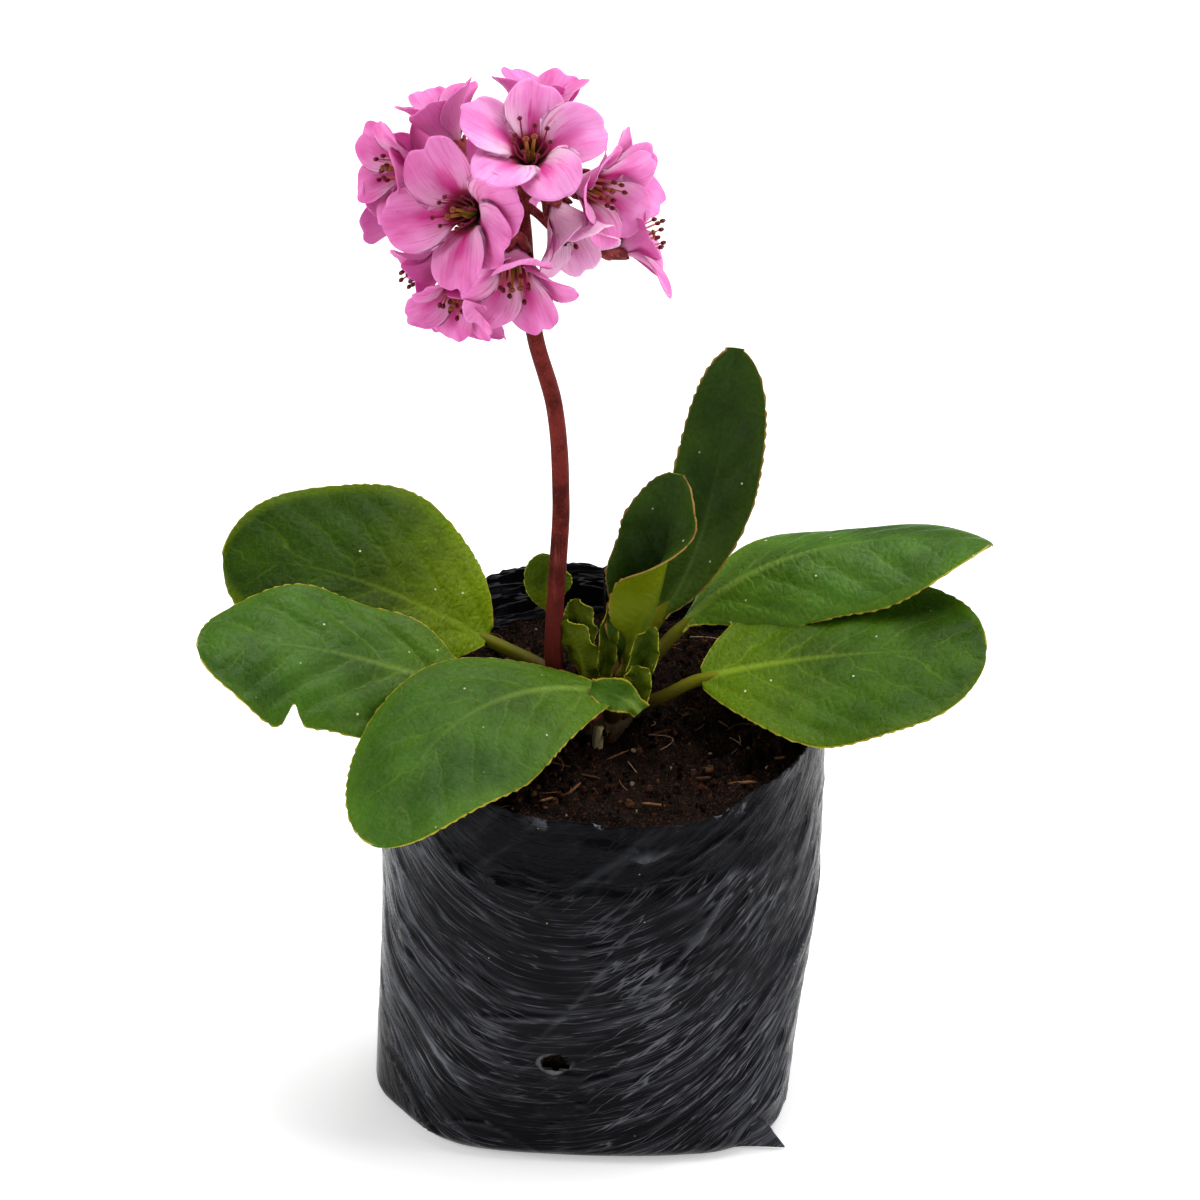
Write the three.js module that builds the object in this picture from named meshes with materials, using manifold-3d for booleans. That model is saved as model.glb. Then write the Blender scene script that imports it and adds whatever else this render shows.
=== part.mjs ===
// A young bergenia in flower, growing in a black polythene grow bag filled with potting soil.
// Units are millimetres, +Z is up, and the origin is the middle of the bag's base, on the ground.
import * as THREE from 'three';
import { mergeVertices } from 'three/addons/utils/BufferGeometryUtils.js';
import Module from 'manifold-3d';

const wasm = await Module();
wasm.setup();

// Driving dimensions of the bag
const BAG_RADIUS = 45; // the open top, of a bag that lies 140 mm wide when flat
const FILM = 0.8; // film thickness, many times the real 0.1 mm
const RIM_HEIGHT = 87.5; // mean height of the rim
const RIM_TILT = 7.5; // the rim stands higher at the back by this much and lower in front
const BASE_ROUNDING = 4; // height over which the side turns under into the base
const BASE_INSET = 3; // how far the flat base lies inside the side's outline
const BASE_OUTLINE = [ // plan of the side just above the base, from +X anticlockwise
  [38, -4], [36, 16], [23, 33], [-2, 38.5], [-27, 34], [-44, 14],
  [-47.5, -8], [-43, -20], [-31, -33.5], [-8, -38.3], [16, -38.3], [34, -33],
];
const BAG_ROWS = [0, 0.012, 0.05, 0.22, 0.42, 0.62, 0.82, 1]; // shares of the rim's height
const BAG_SIDES = 40;
const DRAIN_HOLE = { width: 6, height: 4.4, rise: 24.5 };
const DRAIN_HOLE_SIDES = [-97, 83]; // degrees round the bag: punched through both layers of the flat film
const SEAM_EAR = [[24, 0], [39, 0], [36.5, 8.5], [29, 12]]; // x and z of the seam corner that sticks out

// Driving dimensions of the soil and the crown
const GAP = 0.3; // running gap between pieces that touch
const SOIL_LEVEL = 81.2;
const SOIL_SLOPE = 0.07; // rises towards the back, with the rim
const SOIL_MOUND = { height: 1.2, radius: 14 };
const SOIL_RINGS = [0.8, 0.58, 0.36];
const SOIL_LUMP = 0.7;
const CROWN = { centre: [-1, 1, 81.5], radii: [8.6, 7.4, 7.6] };

// Driving dimensions of the leaves
const BLADE_THICKNESS = 0.7;
const TOOTH_DEPTH = 0.022; // share of the blade's half width
const WIDEST_AT = 0.56; // along the blade from its base

// Driving dimensions of one flower, with its base at the origin and its mouth towards +Z
const PETALS = 5;
const PETAL_THICKNESS = 0.6;
const PETAL_HALF_WIDTH = 7.3;
const PETAL_WIDEST_AT = 0.68;
const PETAL_FUSED_TO = 0.5; // share of a petal's length up to which its neighbours touch it
const PETAL_CUP_ROWS = [0, 0.22, 0.5];
const PETAL_ROWS = [0.74, 0.91];
const PETAL_UNEVEN = 0.3;
const STAMENS = 5;
const STAMEN_REACH = 11;

const rad = THREE.MathUtils.degToRad;
const lerp = THREE.MathUtils.lerp;
const vector = (p) => new THREE.Vector3(...p);

// A repeatable number from 0 to 1 for each whole number.
function chance(n) {
  const s = Math.sin(n * 127.1 + 11.7) * 43758.5453;
  return s - Math.floor(s);
}

// A closed surface that is filled in point by point, then becomes a solid.
class Shell {
  constructor() {
    this.points = [];
    this.faces = [];
  }

  point(p) {
    this.points.push(p.x, p.y, p.z);
    return this.points.length / 3 - 1;
  }

  ring(points) {
    return points.map((p) => this.point(p));
  }

  triangle(a, b, c) {
    this.faces.push(a, b, c);
  }

  // The band between two rings of equal length, whose points run anticlockwise seen from the outside's top.
  band(low, high) {
    low.forEach((a, i) => {
      const j = (i + 1) % low.length;
      this.triangle(a, low[j], high[j]);
      this.triangle(a, high[j], high[i]);
    });
  }

  fan(ring, hub, facesDown) {
    ring.forEach((a, i) => {
      const b = ring[(i + 1) % ring.length];
      if (facesDown) this.triangle(b, a, hub);
      else this.triangle(a, b, hub);
    });
  }

  solid() {
    const geometry = new THREE.BufferGeometry();
    geometry.setAttribute('position', new THREE.Float32BufferAttribute(this.points, 3));
    geometry.setIndex(this.faces);
    return solidOf(geometry);
  }
}

function solidOf(geometry) {
  const bare = geometry.clone();
  bare.deleteAttribute('normal');
  bare.deleteAttribute('uv');
  const merged = mergeVertices(bare, 1e-4);
  return new wasm.Manifold(new wasm.Mesh({
    numProp: 3,
    vertProperties: new Float32Array(merged.attributes.position.array),
    triVerts: new Uint32Array(merged.index.array),
  }));
}

const joined = (solids) => solids.reduce((all, one) => all.add(one));

function meshOf(solid, name, material) {
  const data = solid.getMesh();
  const geometry = new THREE.BufferGeometry();
  geometry.setAttribute('position', new THREE.Float32BufferAttribute(data.vertProperties, 3));
  geometry.setIndex(new THREE.Uint32BufferAttribute(data.triVerts, 1));
  geometry.computeVertexNormals();
  const mesh = new THREE.Mesh(geometry, material);
  mesh.name = name;
  return mesh;
}

const finish = (color, roughness) => new THREE.MeshStandardMaterial({ color, roughness, metalness: 0 });
const film = finish(0x17181b, 0.42);
const earth = finish(0x1d130d, 0.98);
const rootstock = finish(0x5a4630, 0.85);
const paleRoot = finish(0xcbb78c, 0.8);
const foliage = finish(0x2f6a1c, 0.5);
const youngFoliage = finish(0x6a8a1e, 0.5);
const redStem = finish(0x7a2f30, 0.55);
const petalPink = finish(0xe07ac6, 0.6);
const stamenRed = finish(0x8c3a2c, 0.6);

// A round tube along a curve, tapering as radiusAt says, with closed ends.
function tube(curve, radiusAt, sides, steps) {
  const shell = new Shell();
  const frames = curve.computeFrenetFrames(steps, false);
  let below = null;
  for (let i = 0; i <= steps; i += 1) {
    const t = i / steps;
    const centre = curve.getPointAt(t);
    const points = [];
    for (let k = 0; k < sides; k += 1) {
      const a = (2 * Math.PI * k) / sides;
      points.push(centre.clone()
        .addScaledVector(frames.normals[i], radiusAt(t) * Math.cos(a))
        .addScaledVector(frames.binormals[i], radiusAt(t) * Math.sin(a)));
    }
    const ring = shell.ring(points);
    if (below) shell.band(below, ring);
    else shell.fan(ring, shell.point(centre), true);
    if (i === steps) shell.fan(ring, shell.point(centre), false);
    below = ring;
  }
  return shell.solid();
}

const bezier = (points) => new THREE.CubicBezierCurve3(...points.map(vector));

// The bag: its plan at each height, and closed bodies that follow it at a distance inside
const basePoints = BASE_OUTLINE.map(([x, y]) => vector([x, y, 0]));
const baseOutline = new THREE.CatmullRomCurve3(basePoints, true, 'catmullrom', 0.5);

const rimHeight = (angle) => RIM_HEIGHT + RIM_TILT * Math.sin(angle - 0.12)
  + 1.0 * Math.sin(3 * angle + 2.2) + 0.5 * Math.sin(7 * angle);

function bagPoint(angle, z, inset) {
  const up = THREE.MathUtils.clamp(z / rimHeight(angle), 0, 1);
  const low = baseOutline.getPoint((angle / (2 * Math.PI) + 1) % 1);
  const high = vector([BAG_RADIUS * Math.cos(angle), BAG_RADIUS * Math.sin(angle), 0]);
  const p = low.lerp(high, Math.sin((up * Math.PI) / 2) ** 0.9);
  const turned = Math.max(0, 1 - z / BASE_ROUNDING);
  const slack = Math.sin(Math.PI * up);
  const relief = slack * (0.55 * Math.sin(5 * angle + 5 * up) + 0.45 * Math.sin(8 * angle - 7 * up + 1));
  const reach = p.length();
  p.setLength(reach + relief - inset - BASE_INSET * turned * turned);
  p.z = z;
  return p;
}

// A closed body that keeps the given distance inside the bag's outer face. cap gives the rings of its top.
function bagBody(inset, floor, topAt, cap) {
  const shell = new Shell();
  const angles = Array.from({ length: BAG_SIDES }, (_, k) => (2 * Math.PI * k) / BAG_SIDES);
  let below = null;
  BAG_ROWS.forEach((share, row) => {
    const ring = shell.ring(angles.map((angle) => {
      const last = row === BAG_ROWS.length - 1;
      const z = last ? topAt(angle) : Math.min(share * rimHeight(angle), topAt(angle) - 4 * (1 - share));
      return bagPoint(angle, Math.max(z, floor), inset);
    }));
    if (below) shell.band(below, ring);
    else shell.fan(ring, shell.point(vector([-3, 0, floor])), true);
    below = ring;
  });
  const edge = angles.map((angle) => bagPoint(angle, topAt(angle), inset));
  cap.shares.forEach((share) => {
    const ring = shell.ring(edge.map((p) => cap.at(p.x * share, p.y * share)));
    shell.band(below, ring);
    below = ring;
  });
  shell.fan(below, shell.point(cap.at(0, 0)), false);
  return shell.solid();
}

const flatCap = { shares: [], at: (x, y) => vector([x, y, RIM_HEIGHT]) };

function drainHole(degrees) {
  const angle = rad(degrees);
  const outline = [];
  for (let k = 0; k < 10; k += 1) {
    const a = (2 * Math.PI * k) / 10;
    const ragged = 0.88 + 0.24 * chance(k + degrees);
    outline.push(new THREE.Vector2(
      (DRAIN_HOLE.width / 2) * ragged * Math.cos(a),
      (DRAIN_HOLE.height / 2) * ragged * Math.sin(a),
    ));
  }
  const punch = new THREE.ExtrudeGeometry(new THREE.Shape(outline), { depth: 8, bevelEnabled: false });
  const wall = bagPoint(angle, DRAIN_HOLE.rise, 4);
  punch.applyMatrix4(new THREE.Matrix4().makeBasis(
    vector([-Math.sin(angle), Math.cos(angle), 0]),
    vector([0, 0, 1]),
    vector([Math.cos(angle), Math.sin(angle), 0]),
  ).setPosition(wall));
  return solidOf(punch);
}

function seamEar() {
  const outline = new THREE.Shape(SEAM_EAR.map(([x, z]) => new THREE.Vector2(x, z)));
  const ear = new THREE.ExtrudeGeometry(outline, { depth: FILM, bevelEnabled: false });
  ear.rotateX(Math.PI / 2);
  ear.rotateZ(rad(8));
  ear.translate(-0.6, -35, 0);
  return solidOf(ear);
}

function bag() {
  const outside = bagBody(0, 0, rimHeight, flatCap).add(seamEar());
  const inside = bagBody(FILM, FILM, (angle) => rimHeight(angle) + 6, flatCap);
  const holes = joined(DRAIN_HOLE_SIDES.map(drainHole));
  return outside.subtract(inside).subtract(holes);
}

// The soil: its lumpy surface, then its body
function soilHeight(x, y) {
  const mound = SOIL_MOUND.height * Math.exp(-(x * x + y * y) / SOIL_MOUND.radius ** 2);
  const lumps = Math.sin(0.55 * x + 1.3) * Math.sin(0.47 * y - 0.4)
    + 0.6 * Math.sin(0.31 * x - 0.62 * y + 2) + 0.4 * Math.sin(1.1 * x + 0.7 * y);
  return SOIL_LEVEL + SOIL_SLOPE * y + mound + SOIL_LUMP * lumps;
}

function soilEdge(angle) {
  const p = bagPoint(angle, SOIL_LEVEL, FILM + GAP);
  return Math.min(soilHeight(p.x, p.y), rimHeight(angle) - 0.4);
}

function soil() {
  const cap = { shares: SOIL_RINGS, at: (x, y) => vector([x, y, soilHeight(x, y)]) };
  return bagBody(FILM + GAP, FILM + GAP, soilEdge, cap);
}

// The crown is the short upright rootstock that every leaf and the flower stem grow from.
function crown(grown) {
  const ball = new THREE.SphereGeometry(1, 14, 9);
  const at = ball.attributes.position;
  for (let i = 0; i < at.count; i += 1) {
    const p = new THREE.Vector3().fromBufferAttribute(at, i);
    const lump = 1 + 0.06 * Math.sin(5 * p.x + 2) * Math.cos(4 * p.y) + 0.05 * Math.sin(7 * p.z + 3 * p.y);
    p.multiplyScalar(lump).multiply(vector(CROWN.radii));
    p.setLength(p.length() + grown).add(vector(CROWN.centre));
    at.setXYZ(i, p.x, p.y, p.z);
  }
  return solidOf(ball);
}

// Half width of a blade as a share of its widest, t from its base to its tip.
function bladeOutline(t, leaf, half) {
  const widest = leaf.widestAt ?? WIDEST_AT;
  if (t < widest) return Math.sin((Math.PI / 2) * (t / widest)) ** (half.taper ?? 0.8);
  return Math.sqrt(Math.max(0, 1 - ((t - widest) / (1 - widest)) ** 2.3));
}

// A point of the blade's middle surface. v runs from -1 at the left margin to 1 at the right one, seen from
// above with the tip ahead. Each half leaves the midrib at its own lift and then curls at its own rate.
function bladePoint(leaf, t, v) {
  const midrib = leaf.midribCurve;
  const along = midrib.getTangent(t);
  const face = vector(leaf.faceBase).lerp(vector(leaf.faceTip), t);
  const up = face.addScaledVector(along, -face.dot(along)).normalize();
  const right = along.clone().cross(up);
  const half = v < 0 ? leaf.left : leaf.right;
  const lift = rad(lerp(half.lift[0], half.lift[1], t));
  const bend = rad(lerp(half.curl[0], half.curl[1], t)) / half.width;
  const tooth = Math.abs(v) > 0.99 ? 1 + TOOTH_DEPTH * Math.cos(Math.PI * 2 * t * leaf.teeth) : 1;
  const full = half.width * bladeOutline(t, leaf, half) * tooth;
  const reach = Math.abs(v) * Math.max(full, leaf.stalk * 0.6);
  const turn = Math.abs(bend) < 1e-5 ? 1e-5 : bend;
  const out = (Math.sin(lift + turn * reach) - Math.sin(lift)) / turn;
  const rise = (Math.cos(lift) - Math.cos(lift + turn * reach)) / turn;
  const { size, count, phase } = leaf.wave;
  const wave = size * v * v * Math.sin(2 * Math.PI * (count * t + phase) + (v < 0 ? 2 : 0));
  return midrib.getPoint(t).addScaledVector(right, Math.sign(v) * out).addScaledVector(up, rise + wave);
}

function bladeNormal(leaf, t, v) {
  const step = 0.01;
  const t0 = Math.min(t, 1 - 2 * step);
  const along = bladePoint(leaf, t0 + step, v).sub(bladePoint(leaf, t0, v));
  const v0 = Math.min(v, 0.98 - step);
  const across = bladePoint(leaf, t0, v0 + step).sub(bladePoint(leaf, t0, v0));
  return across.cross(along).normalize();
}

// The blade: columns of points from margin to margin, and margins with twice as many points for the teeth.
function blade(leaf) {
  const shell = new Shell();
  const rows = leaf.rows;
  const columns = leaf.columns;
  const spaced = (share) => 0.02 + 0.98 * Math.sin((Math.PI / 2) * share) ** 1.1;
  const faces = [1, -1].map((side) => {
    const at = (share, v) => {
      const t = spaced(share);
      return shell.point(bladePoint(leaf, t, v)
        .addScaledVector(bladeNormal(leaf, t, v), (side * BLADE_THICKNESS) / 2));
    };
    const tip = at(1, 0);
    const inner = columns.map((v) => (
      Array.from({ length: rows + 1 }, (_, i) => (i === rows ? tip : at(i / rows, v)))));
    const margin = [-1, 1].map((v) => Array.from({ length: 2 * rows + 1 }, (_, i) => (
      i === 2 * rows ? tip : at(i / (2 * rows), v))));
    return { inner, margin };
  });
  faces.forEach(({ inner, margin }, bottom) => {
    const add = (a, b, c) => {
      if (a === b || b === c || a === c) return;
      if (bottom) shell.triangle(a, c, b);
      else shell.triangle(a, b, c);
    };
    for (let i = 0; i < rows; i += 1) {
      for (let c = 0; c + 1 < inner.length; c += 1) {
        add(inner[c][i], inner[c + 1][i], inner[c + 1][i + 1]);
        add(inner[c][i], inner[c + 1][i + 1], inner[c][i + 1]);
      }
      const [l, r] = [margin[0], margin[1]];
      const [first, last] = [inner[0], inner.at(-1)];
      add(l[2 * i], first[i], l[2 * i + 1]);
      add(l[2 * i + 1], first[i], first[i + 1]);
      add(l[2 * i + 1], first[i + 1], l[2 * i + 2]);
      add(last[i], r[2 * i], r[2 * i + 1]);
      add(last[i], r[2 * i + 1], last[i + 1]);
      add(last[i + 1], r[2 * i + 1], r[2 * i + 2]);
    }
  });
  const rimOf = ({ inner, margin }) => [
    ...margin[1], ...margin[0].slice(0, -1).reverse(), ...inner.map((column) => column[0]),
  ];
  const [top, bottom] = faces.map(rimOf);
  shell.band(bottom, top);
  return shell.solid();
}

function leafSolid(leaf) {
  leaf.midribCurve = bezier(leaf.midrib);
  const stalkEnd = vector(leaf.midrib[0]);
  const under = bladePoint(leaf, 0.16, 0).addScaledVector(bladeNormal(leaf, 0.16, 0), -0.3);
  const course = [...leaf.petiole.map(vector), stalkEnd, under];
  const path = new THREE.CatmullRomCurve3(course, false, 'centripetal');
  const bladeStart = 1 - stalkEnd.distanceTo(under) / path.getLength();
  const radius = (t) => {
    const beyond = (t - bladeStart) / (1 - bladeStart);
    if (beyond > 0) return lerp(leaf.stalk, 1, beyond) / 2;
    return (leaf.stalk * lerp(leaf.sheath, 1, Math.min(1, (t / bladeStart) * 1.6))) / 2;
  };
  return blade(leaf).add(tube(path, radius, 5, leaf.stalkSteps));
}

// Every leaf, each with the points of its stalk from the crown and of its midrib from base to tip.
const BIG = { rows: 10, columns: [-0.6, -0.2, 0.2, 0.6], teeth: 11, stalk: 3.2, sheath: 1.25, stalkSteps: 6 };
const SMALL = { rows: 6, columns: [-0.45, 0.45], teeth: 6, stalk: 1.7, sheath: 1.3, stalkSteps: 4 };
const LEAVES = {
  leaf_back_left: {
    ...BIG,
    widestAt: 0.5,
    petiole: [[-5, 5, 85], [-13, 10, 88.5]],
    midrib: [[-23, 15, 91.4], [-36, 16, 98.5], [-57, 19, 110], [-78, 26, 104]],
    faceBase: [0.25, -0.5, 0.83], faceTip: [-0.1, -0.6, 0.8],
    left: { width: 19, lift: [8, 0], curl: [0, -10] },
    right: { width: 24, lift: [12, 4], curl: [-6, -30] },
    wave: { size: 1.2, count: 2.2, phase: 0.1 },
  },
  leaf_left: {
    ...BIG,
    petiole: [[-6.5, -3, 84], [-15, -5.5, 86.8]],
    midrib: [[-24, -5, 90.8], [-40, -6, 92], [-62, -9, 107.6], [-80, -12, 101]],
    faceBase: [0.1, -0.35, 0.93], faceTip: [-0.2, -0.3, 0.95],
    left: { width: 18.2, lift: [-3, -12], curl: [-20, -36] },
    right: { width: 16.5, lift: [13, 8], curl: [-10, -16] },
    wave: { size: 1.3, count: 2.5, phase: 0.6 },
  },
  leaf_front_left: {
    ...BIG,
    petiole: [[1.5, -4, 83.5], [2.8, -6, 86.3]],
    midrib: [[3.2, -7, 89.5], [-15, -9, 95.5], [-36, -24, 96], [-43, -47, 76.3]],
    faceBase: [0.1, -0.2, 0.97], faceTip: [-0.4, -0.75, 0.5],
    left: { width: 19.5, taper: 0.75, lift: [8, -4], curl: [-6, -16] },
    right: { width: 16.8, taper: 1.25, lift: [-3, 0], curl: [-14, -14] },
    wave: { size: 0.8, count: 2, phase: 0.2 },
  },
  leaf_right: {
    ...BIG,
    widestAt: 0.52,
    petiole: [[4.5, -2, 84.2], [11, -4.5, 87.8]],
    midrib: [[19, -5, 92.2], [34, -6, 97], [55, -8, 100.5], [76, -11, 101]],
    faceBase: [-0.1, -0.3, 0.95], faceTip: [0.1, -0.35, 0.93],
    left: { width: 25, lift: [4, 2], curl: [-8, -14] },
    right: { width: 23, lift: [0, 2], curl: [-8, -14] },
    wave: { size: 0.8, count: 2, phase: 0.8 },
  },
  leaf_back_right: {
    ...BIG,
    widestAt: 0.5,
    petiole: [[5, 4, 86], [10, 8, 90.5]],
    midrib: [[18, 11, 98], [30, 14, 113.5], [55, 16, 116], [78, 8, 116]],
    faceBase: [-0.35, -0.3, 0.9], faceTip: [0, 0, 1],
    left: { width: 16.5, lift: [-6, -10], curl: [-14, -24] },
    right: { width: 15.5, lift: [-16, -4], curl: [-36, -30] },
    wave: { size: 1, count: 2, phase: 0.3 },
  },
  leaf_tall: {
    ...BIG,
    petiole: [[2, 7, 87], [6, 9.5, 91]],
    midrib: [[11, 12, 98], [22, 14, 112], [24, 19, 132], [26.5, 22, 153]],
    faceBase: [-0.4, -0.9, 0.2], faceTip: [-0.1, -0.98, 0.1],
    left: { width: 8.8, lift: [24, 8], curl: [10, 10] },
    right: { width: 10, lift: [24, 8], curl: [10, 10] },
    wave: { size: 0.7, count: 2.5, phase: 0.5 },
  },
  leaf_inner: {
    ...BIG,
    petiole: [[1.8, 2.2, 87.5], [4.6, 1.9, 91.5]],
    midrib: [[7.6, 2, 96], [11.5, 3, 106], [14, 5, 121], [14, 4, 131]],
    faceBase: [-0.5, -0.85, 0.1], faceTip: [-0.3, -0.95, 0.1],
    left: { width: 12, lift: [20, 10], curl: [30, 10] },
    right: { width: 12, lift: [40, 20], curl: [120, 30] },
    wave: { size: 0.8, count: 3, phase: 0.2 },
  },
  leaf_small_behind: {
    ...SMALL,
    petiole: [[-2.5, 6, 85.5], [-6.5, 10, 92]],
    midrib: [[-10.5, 13, 99], [-12, 14, 103], [-12, 14, 108], [-10, 14, 110.5]],
    faceBase: [0.1, -0.95, 0.2], faceTip: [0, -0.9, 0.4],
    left: { width: 4.6, lift: [10, 0], curl: [10, 0] },
    right: { width: 5.4, lift: [10, 0], curl: [20, 10] },
    wave: { size: 0.3, count: 2, phase: 0.3 },
  },
  leaf_small_left: {
    ...SMALL,
    petiole: [[-3.5, -1, 86.5], [-4, -1.2, 88]],
    midrib: [[-4.5, -1.4, 90], [-5.2, -1.2, 95], [-5.6, 0.4, 100], [-6.2, 1.4, 105]],
    faceBase: [0.3, 0.9, 0.1], faceTip: [0.2, 0.95, 0.1],
    left: { width: 4.4, lift: [20, 10], curl: [30, 10] },
    right: { width: 2.6, lift: [40, 20], curl: [60, 30] },
    wave: { size: 0.5, count: 2, phase: 0.1 },
  },
  leaf_small_middle: {
    ...SMALL,
    petiole: [[-0.2, 0.4, 87], [0.4, 0.6, 88.5]],
    midrib: [[0.9, 0.8, 90], [1.3, 1.2, 93], [1.3, 1.8, 97], [1.4, 2.2, 100]],
    faceBase: [0.1, -0.95, 0.1], faceTip: [0.1, -0.95, 0.2],
    left: { width: 2.6, lift: [20, 10], curl: [60, 30] },
    right: { width: 2.3, lift: [20, 10], curl: [60, 30] },
    wave: { size: 0.4, count: 2, phase: 0.7 },
  },
  leaf_small_right: {
    ...SMALL,
    petiole: [[3.6, -0.6, 86.8], [5.3, -0.8, 89.3]],
    midrib: [[6.4, -1, 91], [7.6, -1.8, 94], [8.4, -2.4, 97], [8.9, -2.6, 99.6]],
    faceBase: [-0.2, -0.95, 0.1], faceTip: [-0.1, -0.95, 0.2],
    left: { width: 3, lift: [20, 10], curl: [70, 40] },
    right: { width: 3, lift: [20, 10], curl: [50, 40] },
    wave: { size: 0.5, count: 2.5, phase: 0.4 },
  },
  leaf_small_front: {
    ...SMALL,
    petiole: [[3.2, -2.8, 86], [4.4, -4.2, 88]],
    midrib: [[4.8, -5, 89.5], [5.4, -5.6, 91.5], [6.4, -5.6, 94], [6.8, -5.4, 96.5]],
    faceBase: [0, -0.95, 0.1], faceTip: [-0.1, -0.95, 0.2],
    left: { width: 2.6, lift: [10, 0], curl: [50, 30] },
    right: { width: 3, lift: [10, 0], curl: [50, 30] },
    wave: { size: 0.5, count: 2, phase: 0 },
  },
};

function leaves(crownRoom) {
  return Object.entries(LEAVES).map(([name, leaf]) => (
    meshOf(leafSolid(leaf).subtract(crownRoom), name, name.includes('small') ? youngFoliage : foliage)));
}

const around = (angle, radius, z) => new THREE.Vector3(radius * Math.cos(angle), radius * Math.sin(angle), z);
const ringOf = (count, pointAt) => Array.from({ length: count }, (_, k) => pointAt(k));

// Radius and height of the petals along their middle, from claw to tip. Wide flowers bend further out.
function petalProfile(open) {
  return new THREE.CubicBezierCurve(
    new THREE.Vector2(1.5, 0.3),
    new THREE.Vector2(3.4, 4.2),
    new THREE.Vector2(lerp(4.6, 6.2, open), lerp(9.5, 8.2, open)),
    new THREE.Vector2(lerp(7.5, 15, open), lerp(15.5, 10, open)),
  );
}

function petalHalfAngle(u, radius) {
  const apart = Math.PI / PETALS;
  if (u <= PETAL_FUSED_TO) return apart;
  const share = Math.max(0, (u - PETAL_WIDEST_AT) / (1 - PETAL_WIDEST_AT));
  return Math.min(0.97 * apart, (PETAL_HALF_WIDTH * Math.sqrt(Math.max(0, 1 - share ** 2.6))) / radius);
}

// A point of one face of the petals: side is 1 on the inner face and -1 on the outer one.
function petalPoint(flower, which, u, v, side) {
  const profile = petalProfile(flower.open);
  const { x, y } = profile.getPoint(u);
  const slope = profile.getTangent(u);
  const uneven = PETAL_UNEVEN * (chance(which + 7 * flower.turn) - 0.5);
  const longer = 1 + uneven * Math.max(0, u - PETAL_FUSED_TO);
  const off = (side * PETAL_THICKNESS) / 2;
  const angle = (2 * Math.PI * which) / PETALS + v * petalHalfAngle(u, x);
  const point = around(angle, x * longer - off * slope.y, y * longer + off * slope.x);
  return point.multiplyScalar(flower.size ?? 1);
}

// The petals stand side by side on a common cup, which is one surface inside and one outside.
function corolla(flower) {
  const shell = new Shell();
  const petals = ringOf(PETALS, (k) => k);
  const [inside, outside] = [1, -1].map((side) => {
    const add = (p, q, r) => (side > 0 ? shell.triangle(p, q, r) : shell.triangle(p, r, q));
    const cup = PETAL_CUP_ROWS.map((u) => shell.ring(
      ringOf(2 * PETALS, (k) => petalPoint(flower, Math.floor(k / 2), u, k % 2, side)),
    ));
    const hub = shell.point(around(0, 0, side > 0 ? 0.6 : -0.25));
    cup[0].forEach((p, k) => add(p, cup[0][(k + 1) % (2 * PETALS)], hub));
    cup.slice(1).forEach((ring, i) => ring.forEach((p, k) => {
      const next = (k + 1) % (2 * PETALS);
      add(cup[i][k], p, ring[next]);
      add(cup[i][k], ring[next], cup[i][next]);
    }));
    const edge = petals.flatMap((which) => {
      const brim = [-1, 0, 1].map((v) => cup.at(-1)[(2 * which + v + 2 * PETALS) % (2 * PETALS)]);
      const rows = [brim, ...PETAL_ROWS.map((u) => [-1, 0, 1].map((v) => (
        shell.point(petalPoint(flower, which, u, v, side)))))];
      const tip = shell.point(petalPoint(flower, which, 1, 0, side));
      rows.slice(1).forEach((row, i) => [0, 1].forEach((c) => {
        add(rows[i][c], row[c], row[c + 1]);
        add(rows[i][c], row[c + 1], rows[i][c + 1]);
      }));
      add(rows.at(-1)[0], tip, rows.at(-1)[1]);
      add(rows.at(-1)[1], tip, rows.at(-1)[2]);
      return [...rows.map((row) => row[0]), tip, ...rows.slice(1).reverse().map((row) => row[2])];
    });
    return edge;
  });
  shell.band(outside, inside);
  return shell.solid();
}

// The ovary with its style, in the middle of the flower.
function pistil(height, scale) {
  const shell = new Shell();
  const profile = [[0.9, 1], [1.1, 2.8], [0.4, 5.2], [0.4, height - 1], [0.6, height]];
  const rings = profile.map(([radius, z]) => shell.ring(
    ringOf(5, (k) => around((2 * Math.PI * k) / 5, radius, z).multiplyScalar(scale)),
  ));
  shell.fan(rings[0], shell.point(around(0, 0, scale)), true);
  rings.slice(1).forEach((ring, i) => shell.band(rings[i], ring));
  shell.fan(rings.at(-1), shell.point(around(0, 0, height * scale)), false);
  return shell.solid();
}

// A three-sided stamen that widens towards its anther.
function stamen(from, to) {
  const shell = new Shell();
  const axis = to.clone().sub(from).normalize();
  const side = new THREE.Vector3(0, 0, 1).cross(axis).normalize();
  const other = axis.clone().cross(side);
  const ring = (centre, radius) => shell.ring(ringOf(3, (k) => centre.clone()
    .addScaledVector(side, radius * Math.cos((2 * Math.PI * k) / 3))
    .addScaledVector(other, radius * Math.sin((2 * Math.PI * k) / 3))));
  const foot = ring(from, 0.3);
  const anther = ring(to.clone().addScaledVector(axis, -0.9), 0.65);
  shell.triangle(foot[0], foot[2], foot[1]);
  shell.band(foot, anther);
  shell.fan(anther, shell.point(to), false);
  return shell.solid();
}

function stamens(flower) {
  const scale = flower.size ?? 1;
  const spread = lerp(2.4, 4, flower.open);
  const filaments = ringOf(STAMENS, (k) => {
    const angle = (2 * Math.PI * (k + 0.3)) / STAMENS;
    const length = STAMEN_REACH * (0.88 + 0.2 * chance(k + 5 * flower.turn));
    return stamen(
      around(angle, 0.5, 1.8).multiplyScalar(scale),
      around(angle, spread, length).multiplyScalar(scale),
    );
  });
  return joined([pistil(STAMEN_REACH * 0.9, scale), ...filaments]);
}

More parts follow.
